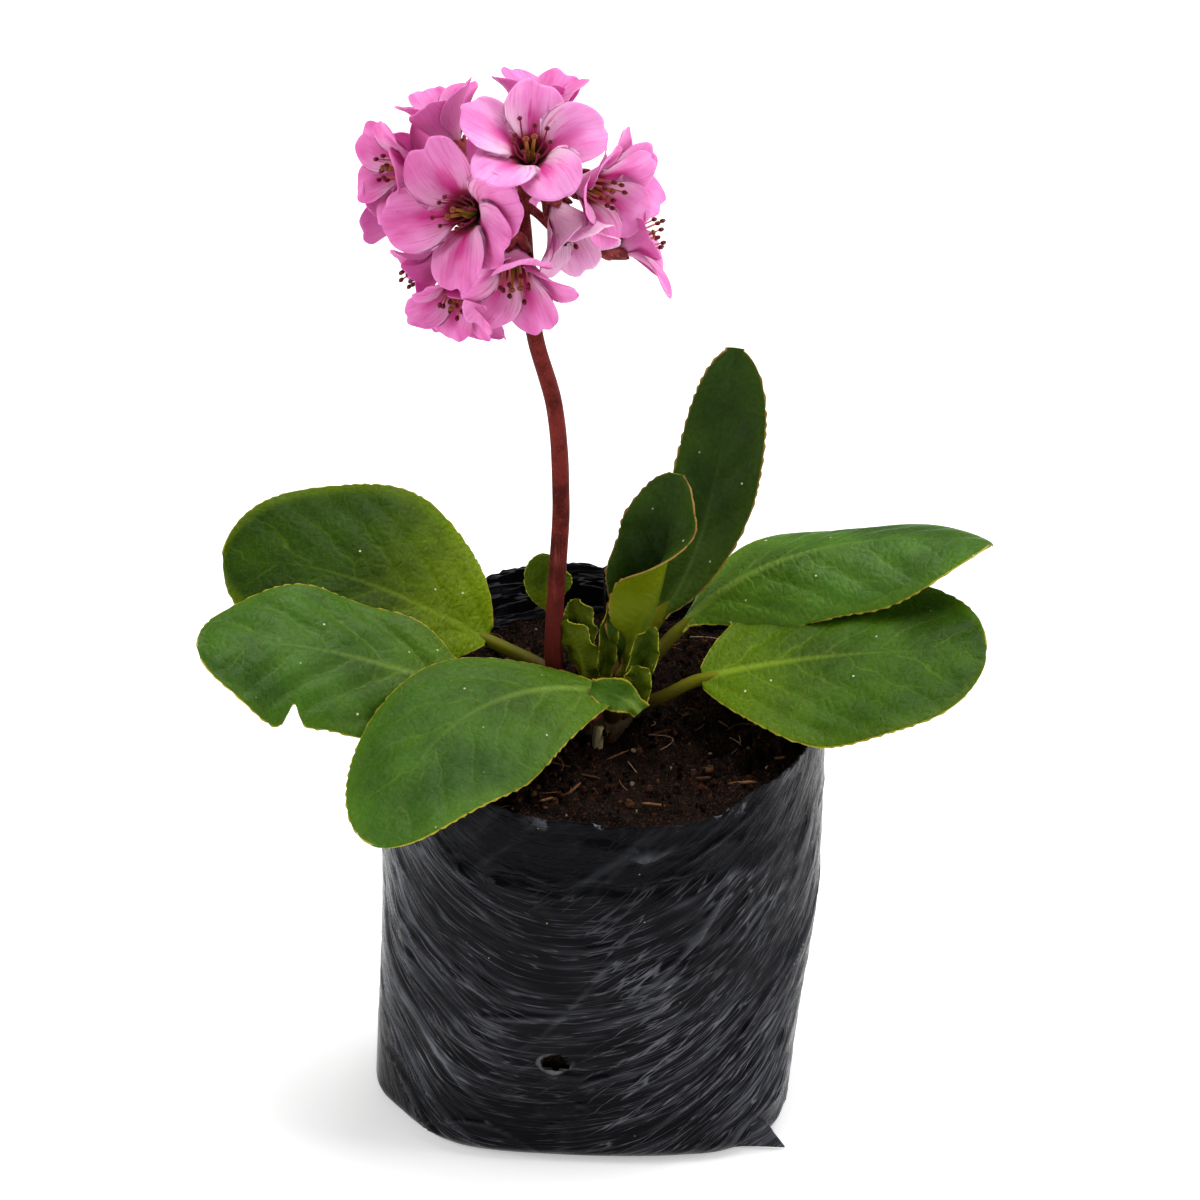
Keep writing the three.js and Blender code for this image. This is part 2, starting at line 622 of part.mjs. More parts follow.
// Each flower: where its base sits, where it looks (degrees round from the front, then up), its turn about
// its own axis, how far it is open, its size, and the share of the stem's length that its stalk leaves from.
const FLOWERS = {
  top_front: { base: [-13.9, -8, 202.2], look: [2, 50], turn: 8, open: 1, from: 0.97 },
  left_front: { base: [-25.4, -8.8, 192], look: [-30, 16], turn: 22, open: 0.95, from: 0.88 },
  right_front: { base: [-2.3, -4, 196.6], look: [25, 10], turn: 30, open: 0.5, size: 0.92, from: 0.84 },
  middle_bell: { base: [-9.8, -6, 191.7], look: [50, -40], turn: 0, open: 0.1, size: 0.9, from: 0.82 },
  low_front: { base: [-15.5, -8, 184.3], look: [2, -34], turn: 12, open: 0.5, size: 0.9, from: 0.78 },
  low_left: { base: [-28, -4, 177.9], look: [-16, -30], turn: 44, open: 0.45, size: 0.86, from: 0.74 },
  far_right: { base: [2.2, 1, 183.4], look: [98, -2], turn: 20, open: 0.75, size: 0.85, from: 0.8 },
  right_back: { base: [-4.6, 10.4, 191.8], look: [66, 24], turn: 10, open: 0.35, size: 0.85, from: 0.84 },
  left: { base: [-34.8, 2.2, 197.9], look: [-70, 8], turn: 10, open: 0.4, size: 0.86, from: 0.93 },
  left_low: { base: [-34.4, 5, 187], look: [-105, -5], turn: 50, open: 0.4, size: 0.8, from: 0.85 },
  left_under: { base: [-33.1, 2, 179.8], look: [-82, -22], turn: 30, open: 0.1, size: 0.7, from: 0.8 },
  under: { base: [-22.9, 8, 175.1], look: [-20, -75], turn: 30, open: 0.2, size: 0.9, from: 0.72 },
  top_left: { base: [-27.6, 2, 201.2], look: [-140, 48], turn: 60, open: 0.45, size: 0.86, from: 0.95 },
  top_back: { base: [-13.2, 3, 202.6], look: [165, 52], turn: 20, open: 0.6, size: 0.95, from: 0.98 },
  back: { base: [-14.2, 9, 189.8], look: [178, 10], turn: 0, open: 0.6, size: 0.9, from: 0.86 },
  back_left: { base: [-27.4, 8, 189.2], look: [-150, 5], turn: 26, open: 0.5, size: 0.9, from: 0.88 },
};

// The flower's own axes in the plant's frame. Z is where it looks.
function flowerAxes(flower) {
  const [round, up] = flower.look.map(rad);
  const axis = new THREE.Vector3(Math.sin(round), -Math.cos(round), Math.tan(up)).normalize();
  const level = new THREE.Vector3(0, 0, 1).cross(axis).normalize();
  const x = level.applyAxisAngle(axis, rad(flower.turn));
  return { x, y: axis.clone().cross(x), z: axis };
}

function placed(solid, flower) {
  const { x, y, z } = flowerAxes(flower);
  return solid.transform(new THREE.Matrix4().makeBasis(x, y, z).setPosition(vector(flower.base)).elements);
}

// The flower stem runs from the crown to the top of the head. Each flower's stalk ends in a calyx.
const STEM_PATH = [
  [-7, 1, 84], [-9.7, 0, 92], [-8.3, 0, 130], [-9.6, -1, 150],
  [-13.2, -3, 165], [-15, -3, 182], [-15.3, -2, 196],
];
const STEM_RADIUS = { foot: 2.05, head: 1.5 };
const STALK_RADIUS = 0.9;
const CALYX = { foot: 3.9, belly: [2.5, 1.7], lobe: [3.6, 2.4], notch: [3.2, 0.7], floor: [1.9, -0.75] };

function flowerStalk(flower, path) {
  const scale = flower.size ?? 1;
  const axes = flowerAxes(flower);
  const base = vector(flower.base);
  const start = path.getPointAt(flower.from);
  const end = base.clone().addScaledVector(axes.z, -CALYX.foot * scale);
  const reach = start.distanceTo(end);
  const curve = new THREE.CubicBezierCurve3(
    start,
    start.clone().lerp(end, 0.3).add(new THREE.Vector3(0, 0, reach * 0.12)),
    end.clone().addScaledVector(axes.z, -reach * 0.35),
    end,
  );
  let side = axes.x.clone().applyAxisAngle(axes.z, Math.PI / PETALS);
  const shell = new Shell();
  const rings = [1, 0.66, 0.33, 0].map((t) => {
    const along = curve.getTangent(t);
    side = side.clone().addScaledVector(along, -side.dot(along)).normalize();
    const other = along.clone().cross(side);
    return ringOf(PETALS, (k) => curve.getPoint(t)
      .addScaledVector(side, STALK_RADIUS * Math.cos((2 * Math.PI * k) / PETALS))
      .addScaledVector(other, STALK_RADIUS * Math.sin((2 * Math.PI * k) / PETALS)));
  });
  const stalk = rings.reverse().map((ring) => shell.ring(ring));
  const frame = new THREE.Matrix4().makeBasis(axes.x, axes.y, axes.z).setPosition(base);
  const calyxRing = (count, heightAt) => shell.ring(ringOf(count, (k) => {
    const [radius, z] = heightAt(k);
    const point = around((2 * Math.PI * k) / count + Math.PI / PETALS, radius, z);
    return point.multiplyScalar(scale).applyMatrix4(frame);
  }));
  const belly = calyxRing(PETALS, () => [CALYX.belly[0], -CALYX.belly[1]]);
  const rim = calyxRing(2 * PETALS, (k) => (k % 2 ? CALYX.notch : CALYX.lobe));
  const floor = calyxRing(PETALS, () => CALYX.floor);
  shell.fan(stalk[0], shell.point(start), true);
  [...stalk.slice(1), belly].forEach((ring, i) => shell.band(stalk[i], ring));
  belly.forEach((p, k) => {
    const next = (k + 1) % PETALS;
    const [r0, r1, r2] = [rim[2 * k], rim[2 * k + 1], rim[(2 * k + 2) % (2 * PETALS)]];
    shell.triangle(p, r1, r0);
    shell.triangle(p, belly[next], r1);
    shell.triangle(belly[next], r2, r1);
    shell.triangle(r0, r1, floor[k]);
    shell.triangle(r1, floor[next], floor[k]);
    shell.triangle(r1, r2, floor[next]);
  });
  const middle = around(0, 0, CALYX.floor[1] * scale).applyMatrix4(frame);
  shell.fan(floor, shell.point(middle), false);
  return shell.solid();
}

function flowerStem() {
  const path = new THREE.CatmullRomCurve3(STEM_PATH.map(vector), false, 'centripetal');
  const stem = tube(path, (t) => lerp(STEM_RADIUS.foot, STEM_RADIUS.head, t), 6, 12);
  return joined([stem, ...Object.values(FLOWERS).map((flower) => flowerStalk(flower, path))]);
}

function flowers() {
  return Object.entries(FLOWERS).flatMap(([name, flower]) => [
    meshOf(placed(corolla(flower), flower), `corolla_${name}`, petalPink),
    meshOf(placed(stamens(flower), flower), `stamens_${name}`, stamenRed),
  ]);
}

// A snapped root that stands out of the soil in front of the crown.
function rootStub(grown) {
  const course = [[-1.4, -9.6, 77.5 - grown], [-1.2, -9.6, 79.5], [-1, -9.4, 81.5], [-0.8, -9.2, 83.8]];
  return tube(bezier(course), () => 1.25 + grown, 6, 2);
}

const plant = new THREE.Group();
const crownRoom = crown(GAP);
plant.add(meshOf(bag(), 'grow_bag', film));
plant.add(meshOf(soil().subtract(crownRoom).subtract(rootStub(GAP)), 'soil', earth));
plant.add(meshOf(crown(0), 'crown', rootstock));
plant.add(meshOf(rootStub(0), 'root_stub', paleRoot));
plant.add(meshOf(flowerStem().subtract(crownRoom), 'flower_stem', redStem));
plant.add(...leaves(crownRoom));
plant.add(...flowers());

export default plant;
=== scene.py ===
"""A young bergenia in flower, growing in a black polythene grow bag full of potting soil.

Lengths are in millimetres until a mesh is made, +Z is up, and the origin is the middle of the bag's base.
"""

import math

import bpy
import numpy as np
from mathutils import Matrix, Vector


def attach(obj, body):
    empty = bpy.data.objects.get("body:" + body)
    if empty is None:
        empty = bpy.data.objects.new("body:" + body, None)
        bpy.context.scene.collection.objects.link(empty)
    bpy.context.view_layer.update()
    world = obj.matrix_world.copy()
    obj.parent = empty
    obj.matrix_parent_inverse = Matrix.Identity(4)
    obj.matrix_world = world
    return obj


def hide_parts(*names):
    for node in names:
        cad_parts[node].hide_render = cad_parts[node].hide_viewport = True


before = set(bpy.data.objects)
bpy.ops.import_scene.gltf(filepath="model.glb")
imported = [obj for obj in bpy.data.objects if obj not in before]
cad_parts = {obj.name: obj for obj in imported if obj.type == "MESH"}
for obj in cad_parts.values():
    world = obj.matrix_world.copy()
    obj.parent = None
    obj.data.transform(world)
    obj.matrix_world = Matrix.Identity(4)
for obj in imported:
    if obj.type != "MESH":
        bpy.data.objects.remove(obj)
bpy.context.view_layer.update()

MM = 0.001
TAU = 2 * math.pi
UP = np.array([0.0, 0.0, 1.0])
dice = np.random.default_rng(7)


# ---- Numbers and curves

def lerp(a, b, t):
    return a + (b - a) * t


def steps(count):
    """Even steps from 0 to 1."""
    return np.linspace(0, 1, count)


def smooth(low, high, x):
    t = np.clip((np.asarray(x, float) - low) / (high - low), 0, 1)
    return t * t * (3 - 2 * t)


def hump(x, width):
    """1 at zero, and soon nothing beyond the width."""
    return np.exp(-((x / width) ** 2))


def turned(x, y, angle):
    """A place in a plane, turned about the origin."""
    return x * math.cos(angle) - y * math.sin(angle), x * math.sin(angle) + y * math.cos(angle)


def heading(angle, rise=0):
    return np.array([math.cos(angle), math.sin(angle), rise])


def unit(v):
    return v / np.maximum(np.linalg.norm(v, axis=-1, keepdims=True), 1e-9)


def chance(n):
    """A repeatable number from 0 to 1."""
    s = math.sin(n * 127.1 + 11.7) * 43758.5453
    return s - math.floor(s)


def noise(x, y, seed=0.0):
    """Smooth noise from -1 to 1."""
    x, y = np.broadcast_arrays(np.asarray(x, float), np.asarray(y, float))
    xi, yi = np.floor(x), np.floor(y)
    fx, fy = smooth(0, 1, x - xi), smooth(0, 1, y - yi)

    def corner(i, j):
        h = np.sin((xi + i) * 127.1 + (yi + j) * 311.7 + seed * 74.7) * 43758.5453
        return 2 * (h - np.floor(h)) - 1

    return lerp(lerp(corner(0, 0), corner(1, 0), fx), lerp(corner(0, 1), corner(1, 1), fx), fy)


def bezier(points, t):
    """Places and directions on a cubic curve with four control points."""
    p = [np.array(q, float) for q in points]
    t = np.asarray(t, float)[..., None]
    s = 1 - t
    at = s**3 * p[0] + 3 * s * s * t * p[1] + 3 * s * t * t * p[2] + t**3 * p[3]
    way = s * s * (p[1] - p[0]) + 2 * s * t * (p[2] - p[1]) + t * t * (p[3] - p[2])
    return at, unit(way)


def hermite(a, b, leaving, arriving, t):
    c = -3 * a + 3 * b - 2 * leaving - arriving
    d = 2 * a - 2 * b + leaving + arriving
    return a + leaving * t + c * t**2 + d * t**3


class Course:
    """A smooth curve through points, read by the share of its length."""

    def __init__(self, points):
        p = [np.array(q, float) for q in points]
        p = [2 * p[0] - p[1], *p, 2 * p[-1] - p[-2]]
        t = np.linspace(0, 1, 60, endpoint=False)[:, None]
        runs = []
        for a, b, c, d in zip(p, p[1:], p[2:], p[3:]):
            g, h, i = (np.linalg.norm(v) ** 0.5 for v in (b - a, c - b, d - c))
            leaving = ((b - a) / g - (c - a) / (g + h) + (c - b) / h) * h
            arriving = ((c - b) / h - (d - b) / (h + i) + (d - c) / i) * h
            runs.append(hermite(b, c, leaving, arriving, t))
        self.line = np.vstack([*runs, p[-2][None]])
        gaps = np.linalg.norm(np.diff(self.line, axis=0), axis=1)
        self.far = np.concatenate([[0], np.cumsum(gaps)])
        self.length = self.far[-1]

    def at(self, share):
        d = np.asarray(share, float) * self.length
        return np.stack([np.interp(d, self.far, self.line[:, k]) for k in range(3)], -1)


# ---- Meshes

def quads(rows, cols, wrap=False, flip=False):
    """The faces of a grid of points, which runs row by row."""
    i, j = np.meshgrid(np.arange(rows - 1), np.arange(cols if wrap else cols - 1), indexing="ij")
    a = i * cols + j
    b = i * cols + (j + 1) % cols
    faces = np.stack([a, b, b + cols, a + cols], -1).reshape(-1, 4)
    return faces[:, ::-1] if flip else faces


def turns(sides):
    """Even angles round a circle, as one row."""
    return np.linspace(0, TAU, sides, endpoint=False)[None]


def fans(sides, count):
    """Triangles that close both ends of a wrapped grid of count points, on the two points after it."""
    k = np.arange(sides)
    after = (k + 1) % sides
    top = count - sides
    return [np.stack([after, k, np.full(sides, count)], -1),
            np.stack([k + top, after + top, np.full(sides, count + 1)], -1)]


def brim(sides, count):
    """Faces from the last row of a wrapped grid of count points to the last row of the next such grid."""
    k = np.arange(sides) + count - sides
    after = np.roll(k, -1)
    return np.stack([k, after, after + count, k + count], -1)


def globe(polar, angle):
    return np.stack([np.sin(polar) * np.cos(angle), np.sin(polar) * np.sin(angle),
                     np.cos(polar) * np.ones_like(angle)], -1)


class Body:
    """Patches of points and faces, with named values at the points, that become one mesh."""

    def __init__(self):
        self.points, self.faces, self.values, self.count = [], [], {}, 0

    def add(self, points, faces, **values):
        points = np.asarray(points, float).reshape(-1, 3)
        self.points.append(points)
        self.faces.extend(np.asarray(f) + self.count for f in faces if len(f))
        for name, value in values.items():
            value = np.broadcast_to(np.asarray(value, float).reshape(-1), len(points))
            self.values.setdefault(name, []).append((self.count, value))
        self.count += len(points)

    def piece(self, name, material, slot, *nodes):
        mesh = bpy.data.meshes.new(name)
        points = np.concatenate(self.points) * MM
        mesh.vertices.add(len(points))
        mesh.vertices.foreach_set("co", points.ravel())
        sizes = np.concatenate([np.full(len(f), f.shape[1]) for f in self.faces])
        corners = np.concatenate([f.ravel() for f in self.faces])
        mesh.loops.add(len(corners))
        mesh.loops.foreach_set("vertex_index", corners)
        mesh.polygons.add(len(sizes))
        mesh.polygons.foreach_set("loop_start", np.concatenate([[0], np.cumsum(sizes)[:-1]]))
        mesh.update(calc_edges=True)
        mesh.validate()
        mesh.shade_smooth()
        for key, patches in self.values.items():
            whole = np.zeros(len(points))
            for start, value in patches:
                whole[start:start + len(value)] = value
            mesh.attributes.new(key, "FLOAT", "POINT").data.foreach_set("value", whole)
        mesh.materials.append(material)
        thing = bpy.data.objects.new(name, mesh)
        bpy.context.collection.objects.link(thing)
        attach(thing, "root")
        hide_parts(*nodes)


def normals_of(grid, wrap=False):
    """The way that a grid of points faces."""
    down = np.gradient(grid, axis=0)
    if wrap:
        across = np.roll(grid, -1, axis=1) - np.roll(grid, 1, axis=1)
    else:
        across = np.gradient(grid, axis=1)
    return unit(np.cross(across, down))


def sheet(body, grid, thickness, normal, **values):
    """A thin closed sheet on both sides of a grid of points. The value under is 1 on its lower face."""
    rows, cols = grid.shape[:2]
    half = np.broadcast_to(np.asarray(thickness, float), (rows, cols))[..., None] / 2
    both = np.stack([grid + normal * half, grid - normal * half])
    top = quads(rows, cols)
    index = np.arange(rows * cols).reshape(rows, cols)
    rim = np.concatenate([index[0, :], index[1:, -1], index[-1, -2::-1], index[-2:0:-1, 0]])
    after = np.roll(rim, -1)
    low = rows * cols
    side = np.stack([rim, rim + low, after + low, after], -1)
    twice = {k: np.tile(np.broadcast_to(v, (rows, cols)).ravel(), 2) for k, v in values.items()}
    under = np.repeat([0.0, 1.0], rows * cols)
    body.add(both, [top, top[:, ::-1] + low, side], under=under, **twice)


def tube(body, centres, radius, sides=16, start=None, **values):
    """A closed tube. radius is one number, one for each centre, or one for each centre and side."""
    centres = np.asarray(centres, float)
    way = unit(np.gradient(centres, axis=0))
    side = np.array([0.3, -1, 0.2]) if start is None else start
    around = []
    for w in way:
        side = unit(side - w * side.dot(w))
        around.append(side)
    first = np.array(around)
    second = np.cross(way, first)
    angle = turns(sides)[..., None]
    radius = np.asarray(radius, float)
    if radius.ndim == 1:
        radius = radius[:, None]
    radius = np.broadcast_to(radius, (len(centres), sides))[..., None]
    spread = np.cos(angle) * first[:, None] + np.sin(angle) * second[:, None]
    ring = centres[:, None] + spread * radius
    points = np.vstack([ring.reshape(-1, 3), centres[:1], centres[-1:]])
    per = {}
    for key, value in values.items():
        value = np.broadcast_to(np.asarray(value, float).reshape(-1), len(centres))
        per[key] = np.concatenate([np.repeat(value, sides), value[:1], value[-1:]])
    body.add(points, [quads(len(centres), sides, wrap=True), *fans(sides, len(centres) * sides)], **per)


def ball(body, centre, radii, axes=None, rings=6, sides=10, lump=0.0, seed=0.0, **values):
    """A rounded lump."""
    polar = np.linspace(0, math.pi, rings + 1)[1:-1, None]
    points = np.vstack([globe(polar, turns(sides)).reshape(-1, 3), [[0, 0, 1], [0, 0, -1]]])
    if lump:
        x, y, z = points.T
        points = points * (1 + lump * noise(2.3 * x + z, 2.3 * y - z, seed))[:, None]
    points = points * np.asarray(radii, float)
    if axes is not None:
        points = points @ np.asarray(axes)
    faces = [quads(rings - 1, sides, wrap=True, flip=True), *fans(sides, (rings - 1) * sides)]
    body.add(points + centre, faces, **values)


# ---- Materials

class Wire:
    """What comes out of a node. Its sums and products are nodes too."""

    def __init__(self, shader, socket):
        self.shader, self.socket = shader, socket

    def __add__(self, other):
        return self.shader.math("ADD", self, other)

    def __sub__(self, other):
        return self.shader.math("SUBTRACT", self, other)

    def __rsub__(self, other):
        return self.shader.math("SUBTRACT", other, self)

    def __mul__(self, other):
        return self.shader.math("MULTIPLY", self, other)

    def __abs__(self):
        return self.shader.math("ABSOLUTE", self)


class Shader:
    """A procedural material, built node by node."""

    def __init__(self, name, **fixed):
        self.material = bpy.data.materials.new(name)
        self.material.use_nodes = True
        self.tree = self.material.node_tree
        self.surface = self.tree.nodes["Principled BSDF"]
        for key, value in fixed.items():
            self.surface.inputs[key.replace("_", " ")].default_value = value

    def node(self, kind, inputs, **settings):
        made = self.tree.nodes.new(kind)
        for key, value in settings.items():
            setattr(made, key, value)
        for key, value in inputs.items():
            self.feed(made.inputs[key], value)
        return made

    def feed(self, socket, value):
        if isinstance(value, Wire):
            self.tree.links.new(value.socket, socket)
        elif value is not None:
            if isinstance(value, (tuple, list)) and len(value) == 3 and socket.type == "RGBA":
                value = (*value, 1)
            socket.default_value = value

    def wire(self, kind, inputs, output=0, **settings):
        return Wire(self, self.node(kind, inputs, **settings).outputs[output])

    def value(self, name):
        """What a mesh says of its points under this name."""
        return self.wire("ShaderNodeAttribute", {}, "Fac", attribute_name=name)

    def values(self, *names):
        return [self.value(name) for name in names]

    def math(self, operation, a, b=None, clamp=False):
        return self.wire("ShaderNodeMath", {0: a, 1: b}, operation=operation, use_clamp=clamp)

    def most(self, a, b):
        return self.math("MAXIMUM", a, b)

    def ease(self, x, low, high, to_low=0.0, to_high=1.0):
        inputs = {"Value": x, "From Min": low, "From Max": high, "To Min": to_low, "To Max": to_high}
        return self.wire("ShaderNodeMapRange", inputs, interpolation_type="SMOOTHSTEP")

    def mix(self, share, a, b):
        made = self.node("ShaderNodeMix", {}, data_type="RGBA")
        self.feed(made.inputs["Factor"], share)
        colours = [s for s in made.inputs if s.type == "RGBA"]
        self.feed(colours[0], a)
        self.feed(colours[1], b)
        return Wire(self, next(s for s in made.outputs if s.type == "RGBA"))

    def coats(self, colour, *layers):
        """A colour with others laid over it, each by its share."""
        for share, over in layers:
            colour = self.mix(share, colour, over)
        return colour

    def at(self, x=0.0, y=0.0, z=0.0):
        return self.wire("ShaderNodeCombineXYZ", {"X": x, "Y": y, "Z": z})

    def place(self, scale=(1, 1, 1)):
        """Where a point is, in metres."""
        where = self.wire("ShaderNodeTexCoord", {}, "Object")
        return self.wire("ShaderNodeMapping", {"Vector": where, "Scale": scale})

    def noise(self, where, scale, detail=3.0, roughness=0.55, distortion=0.0):
        inputs = {"Vector": where, "Scale": scale, "Detail": detail, "Roughness": roughness,
                  "Distortion": distortion}
        return self.wire("ShaderNodeTexNoise", inputs, "Fac")

    def cells(self, where, scale, feature="F1"):
        return self.wire("ShaderNodeTexVoronoi", {"Vector": where, "Scale": scale}, "Distance", feature=feature)

    def bump(self, height, depth_mm, strength):
        return self.wire("ShaderNodeBump", {"Height": height, "Strength": strength, "Distance": depth_mm * MM})

    def done(self, **links):
        for key, value in links.items():
            self.feed(self.surface.inputs[key.replace("_", " ")], value)
        return self.material


def foliage(name, face, deep, glow, vein, underside, rim, sheen_level=0.08):
    """A leaf: its face with soft veins and a fine net, its paler underside and its coloured margin."""
    s = Shader(name, Specular_IOR_Level=sheen_level, Subsurface_Weight=0.12, Subsurface_Scale=0.0015,
               Subsurface_Radius=(0.5, 1.0, 0.15))
    along, across, lateral, edge, under, t, stalk = s.values(
        "along", "across", "lateral", "edge_mm", "under", "leaf_t", "stalk")
    flat = s.at(along, across)
    wander = s.noise(flat, 0.2, 3.0)
    off_midrib = abs(across)
    fade = s.ease(edge, 0.5, 9.0)

    def family(phase, width, drift):
        shifted = phase + (wander - 0.5) * drift
        apart = abs(s.math("FRACT", shifted + 0.5) - 0.5)
        return s.ease(apart, width, 0.0) * fade

    lateral_vein = (family(lateral, s.ease(off_midrib, 0.0, 22.0, 0.09, 0.035), 0.75)
                    * s.ease(off_midrib, 2.0, 22.0, 1.0, 0.35))
    branch = family(s.value("branch"), 0.06, 0.6) * s.ease(off_midrib, 3.0, 9.0, 0.0, 0.3)
    lateral_vein = s.most(lateral_vein, branch)
    midrib = s.ease(off_midrib, s.ease(t, 0.0, 1.0, 1.7, 0.3), 0.0) * s.ease(t, 1.0, 0.2, 0.1, 1.0)
    bent = s.at(along + wander * 3.0, across * 0.8)
    web = s.ease(s.cells(bent, 0.5, "DISTANCE_TO_EDGE"), 0.0, 0.3, 1.0, 0.0)
    fine = s.ease(s.cells(bent, 1.3, "DISTANCE_TO_EDGE"), 0.0, 0.1, 1.0, 0.0)
    veins = s.most(s.most(midrib, lateral_vein * 0.45), web * 0.09)
    patches = s.ease(s.noise(flat, 0.06, 4.0), 0.35, 0.68)
    warm = s.ease(t * -1.0 + wander * 0.25, -0.5, 0.12)
    mottle = s.noise(flat, 1.1, 4.0, 0.7)
    body = s.coats(
        face,
        (patches, deep), (warm * 0.7, glow), (s.ease(edge, 5.0, 0.0) * 0.3, glow),
        (s.ease(mottle, 0.3, 0.75, 0.0, 0.5), deep), (fine * 0.07, vein))
    specks = s.ease(s.cells(flat, 0.17), 0.055, 0.03)
    scars = s.ease(s.noise(flat, 0.35, 5.0, 0.75), 0.71, 0.76) * s.ease(t, 0.3, 0.6)
    below = s.mix(veins * 0.5, underside, vein)
    patchy = s.noise(s.at(along, 0.0), 0.5, 2.0)
    on_rim = s.ease(edge, s.ease(patchy, 0.2, 0.8, 0.25, 0.6), 0.08)
    rim_colour = s.mix(s.ease(patchy, 0.55, 0.7), rim, (0.3, 0.11, 0.02))
    olive = s.mix(s.ease(along + mottle * 2.0, -4.5, 1.0), (0.048, 0.026, 0.003), (0.15, 0.16, 0.004))
    colour = s.coats(
        body,
        (veins * (warm * 0.4 + 0.32), vein), (specks * 0.9, (0.75, 0.72, 0.5)),
        (scars * 0.6, (0.1, 0.045, 0.01)), (under, below), (on_rim * 0.85, rim_colour), (stalk, olive))
    height = veins * -0.5 + (web * -0.45 + fine * -0.12) + mottle * 0.35
    return s.done(Base_Color=colour, Roughness=s.ease(mottle, 0.2, 0.8, 0.36, 0.52),
                  Normal=s.bump(height, 0.27, 0.8))


def stalk_skin(name, main, dark, light):
    """The skin of a stem: streaks along it and small pale dots."""
    s = Shader(name, Specular_IOR_Level=0.04, Subsurface_Weight=0.08, Subsurface_Scale=0.001,
               Subsurface_Radius=(1, 0.5, 0.3))
    streaks = s.noise(s.place((1, 1, 0.12)), 900.0, 4.0, 0.6)
    clouds = s.noise(s.place(), 160.0, 4.0, 0.65)
    dots = s.ease(s.cells(s.place(), 1300.0), 0.22, 0.1)
    blush = s.ease(s.noise(s.place(), 420.0, 3.0, 0.6), 0.35, 0.65)
    # The calyx's own red. The stem's top and the flower stalks take it too, as painted light where the flower
    # head shades them.
    calyx = s.mix(blush, (0.36, 0.075, 0.075), (0.15, 0.03, 0.025))
    calyx = s.mix(dots * 0.6, calyx, (0.75, 0.35, 0.33))
    colour = s.coats(
        main,
        (s.ease(clouds, 0.38, 0.68), dark), (s.ease(streaks, 0.55, 0.8, 0.0, 0.5), light),
        (dots * 0.35, light), (s.ease(s.value("along"), 0.36, 0.05, 0.0, 0.9), dark),
        (s.value("sepal"), calyx))
    height = streaks * 0.7 + dots * 0.5
    return s.done(Base_Color=colour, Roughness=s.ease(streaks, 0.2, 0.8, 0.4, 0.58),
                  Normal=s.bump(height, 0.12, 0.7))


def petal_skin():
    """A petal: paler towards its claw, with a deep streak and fanning veins, and a throat darkened partly by
    its own deep red and partly by painted shade.
    """
    s = Shader("petal", Subsurface_Weight=0.35, Subsurface_Scale=0.0012, Subsurface_Radius=(1.0, 0.35, 0.8),
               Specular_IOR_Level=0.15)
    u, v, pick, under, tone = s.values("petal_u", "petal_v", "petal_pick", "under", "tone")
    veins = s.noise(s.at(v * 5.5, u * 1.1, pick * 7.3), 2.4, 4.0, 0.62, 0.15)
    fine = s.noise(s.at(v * 18.0, u * 1.6, pick), 1.7, 3.0, 0.6)
    cloud = s.noise(s.at(v * 1.2, u * 1.6, pick * 3.1), 1.6, 3.0, 0.5)
    deeper, paler = (s.math("MULTIPLY", tone, share, clamp=True) for share in (1.0, -1.4))
    rich = s.mix(s.ease(cloud, 0.3, 0.7), (0.8, 0.21, 0.51), (0.56, 0.075, 0.28))
    pale = s.ease(u, 0.86, 0.45) * s.ease(abs(v), 0.12, 0.6)
    vein_share = s.ease(veins, 0.5, 0.72) * s.ease(u, 1.05, 0.5, 0.25, 0.9)
    centre = s.ease(abs(v + (cloud - 0.5) * 0.3), 0.34, 0.0) * s.ease(u, 0.92, 0.42)
    body = s.coats(
        (0.93, 0.37, 0.7),
        (s.ease(cloud, 0.3, 0.7), (0.84, 0.22, 0.54)),
        (s.ease(abs(v), 0.55, 1.0, 0.0, 0.3), (0.94, 0.48, 0.75)),
        (deeper, rich), (paler, (0.9, 0.58, 0.76)),
        (pale * s.ease(tone, 0.0, 1.0, 0.8, 0.3), (0.98, 0.66, 0.8)), (vein_share, (0.66, 0.035, 0.29)),
        (s.ease(fine, 0.5, 0.8, 0.0, 0.42), (0.68, 0.08, 0.36)), (centre * 0.85, (0.62, 0.018, 0.23)),
        # The throat: deep red, partly its own colour and partly painted shade, then near black brown at the
        # foot of the cup, which is painted shade.
        (s.ease(u, s.ease(veins, 0.3, 0.7, 0.44, 0.54), 0.33), (0.34, 0.02, 0.08)),
        (s.ease(u, 0.38, 0.2), (0.05, 0.022, 0.012)))
    outer = s.coats(
        (0.84, 0.33, 0.62),
        (s.ease(u, 0.55, 0.1), (0.93, 0.62, 0.7)), (deeper, (0.58, 0.1, 0.33)), (paler, (0.93, 0.66, 0.78)),
        (s.ease(veins, 0.45, 0.75, 0.0, 0.45), (0.62, 0.07, 0.34)))
    spots = s.ease(s.cells(s.at(v * 3.0, u * 4.5, pick * 9.0), 1.0), 0.06, 0.03)
    colour = s.coats(body, (under, outer), (spots * 0.6, (0.25, 0.03, 0.06)))
    height = veins * 0.8 + fine * 0.35
    return s.done(Base_Color=colour, Roughness=s.ease(veins, 0.2, 0.8, 0.42, 0.62),
                  Normal=s.bump(height, 0.16, 0.6))


